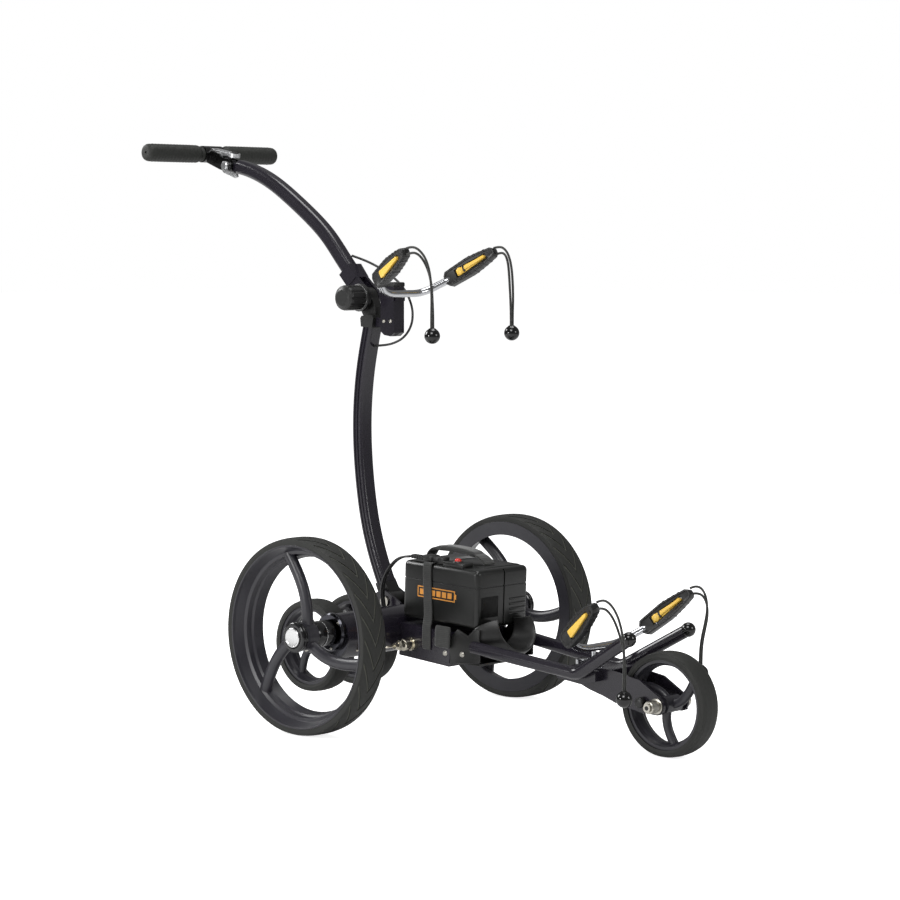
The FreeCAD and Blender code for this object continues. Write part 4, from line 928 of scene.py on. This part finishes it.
# Hand grips. Foam rubber sleeves with shallow wrapped waves, pushed on a black tube, each with a
# small vent hole in its end.
# Foam rubber: soft black with a green cast, dull.
grip_rubber = moulded("grip_foam_rubber", "#0C0E0A", "#161813", 1.0, (0.55, 0.74), 0.15)
dress(grip_rubber, "hand_grips")
GRIP_AT = (-493.0, 933.0)
for side_name, side in (("right", -1), ("left", 1)):
    profile = [(9.55, 22), (12.4, 22), (13.4, 23.5), (13.4, 26.5), (12.4, 28), (12.6, 29.5),
               (14.2, 32)]
    profile += [(15.1 + 0.25 * math.sin(y * 0.9) + 0.25 * min(1, (y - 32) / 20), y)
                for y in [34 + 1.6 * i for i in range(66)]]
    profile += [(15.2, 141), (14.7, 144.5), (13.4, 147.2), (11.2, 148.7), (8, 149.0), (2.4, 149.0),
                (2.2, 148.0), (2.2, 143.7), (9.55, 143.7), (9.55, 22)]
    points = [at(GRIP_AT[0], side * y, GRIP_AT[1] + r) for r, y in profile]
    centre = at(GRIP_AT[0], 0, GRIP_AT[1])
    grip = softened(spun(side_name + "_foam_grip", points, centre, 48), 0)
    fitted(grip, "grip", "grip_foam", grip_rubber, "hand_grips")

# Small fittings. A moulded cap closes the bracket pillar; plated screws hold the pillar and the
# motors' flanges, and a bright ring trims the folding knob.
FLANGE_FACE = 194.6          # outer face of a motor's flange
FLANGE_SCREWS_R = 26         # radius of the circle that its screws stand on
KNOB_X, KNOB_Z = -106, 688
cap = cut_out("pillar_top_cap", [(-65, 707), (-65, 712.6), (-63, 714), (-34, 714), (-32, 712.6),
                                 (-32, 707)], -13, 13, 0.8)
cap.data.transform(Matrix.Translation(at(0, 0, 0)))
fitted(cap, "shaft", "black_plastic", abs_black)


def screw_head(name, x, y, z, way, size=3.2):
    """A domed screw head with a socket, along Y."""
    rings = [(0, 1.1), (size * 0.42, 1.1), (size * 0.46, 1.9), (size * 0.8, 1.6), (size, 0.6),
             (size, -0.4), (0, -0.4)]
    points = [at(x, y + way * d, z + r) for r, d in rings]
    return softened(spun(name, points, at(x, y, z), 24), 0.1)


heads = [screw_head("pillar_screw", x, -12, 650, -1) for x in (-56, -41)]
heads += [screw_head("pillar_screw", x, 12, 650, 1) for x in (-56, -41)]
fitted(joined(*heads), "shaft", "plated_steel", zinc)
heads = []
for way in (-1, 1):
    for angle in (40, 160, 280):
        a = math.radians(angle)
        heads.append(screw_head("flange_screw", FLANGE_SCREWS_R * math.cos(a), way * FLANGE_FACE,
                                TYRE_R + FLANGE_SCREWS_R * math.sin(a), way, 2.4))
fitted(joined(*heads), "frame", "plated_steel", zinc)
ring = [(20.8, 22.4), (21.6, 22.4), (21.6, 23.6), (20.8, 23.6), (20.8, 22.4)]
points = [at(KNOB_X, -y, KNOB_Z + r) for r, y in ring]
fitted(softened(spun("knob_ring", points, at(KNOB_X, 0, KNOB_Z), 48), 0), "fold_knob",
       "satin_metal",
       turned_aluminium)

# Front axle fittings. Black nylon caps cover the tracking adjusters, and the turned steel nut has a
# knurled grip; a thin black disc on its end is painted shade standing for the dark socket in it.
FRONT_AXLE = (538.6, 81.0)
FORK_OUT = 31.0              # outer face of the fork plate
RIDGES, RIDGES_R = 28, 9.5   # the nut's knurl: how many ridges, and how far from its middle
for side_name, side in (("right", -1), ("left", 1)):
    profile = [(0, 0.1), (7.4, 0.1), (8.0, 2), (8.0, 8.4), (7.2, 9.8), (5.4, 10.7), (0, 10.9)]
    x, z = FRONT_AXLE[0] - 28, FRONT_AXLE[1] + 3
    points = [at(x, side * (FORK_OUT + d), z + r) for r, d in profile]
    cap = softened(spun(side_name + "_adjuster_cap", points, at(x, 0, z), 32), 0.3)
    fitted(cap, "frame", "black_plastic", abs_black)
ridges = []
for i in range(RIDGES):
    angle = 2 * math.pi * i / RIDGES
    x = FRONT_AXLE[0] + RIDGES_R * math.cos(angle)
    z = FRONT_AXLE[1] + RIDGES_R * math.sin(angle)
    ridge = block("ridge", (x - 0.45, x + 0.45), (-FORK_OUT - 18.5, -FORK_OUT - 6),
                  (z - 0.45, z + 0.45))
    ridge.data.transform(Matrix.Translation(at(0, 0, 0)))
    ridges.append(ridge)
fitted(joined(*ridges), "frame", "plated_steel", zinc).name = "nut_knurl"
# Painted shade: a flat black disc on the nut's end stands for the shade inside its socket.
profile = [(0, 24.4), (3.4, 24.4), (3.4, 24.9), (0, 24.9)]
points = [at(FRONT_AXLE[0], -FORK_OUT - d, FRONT_AXLE[1] + r) for r, d in profile]
socket = softened(spun("nut_socket_painted_shade", points, at(FRONT_AXLE[0], 0, FRONT_AXLE[1]), 24), 0)
fitted(socket, "frame", "black_plastic", abs_black)
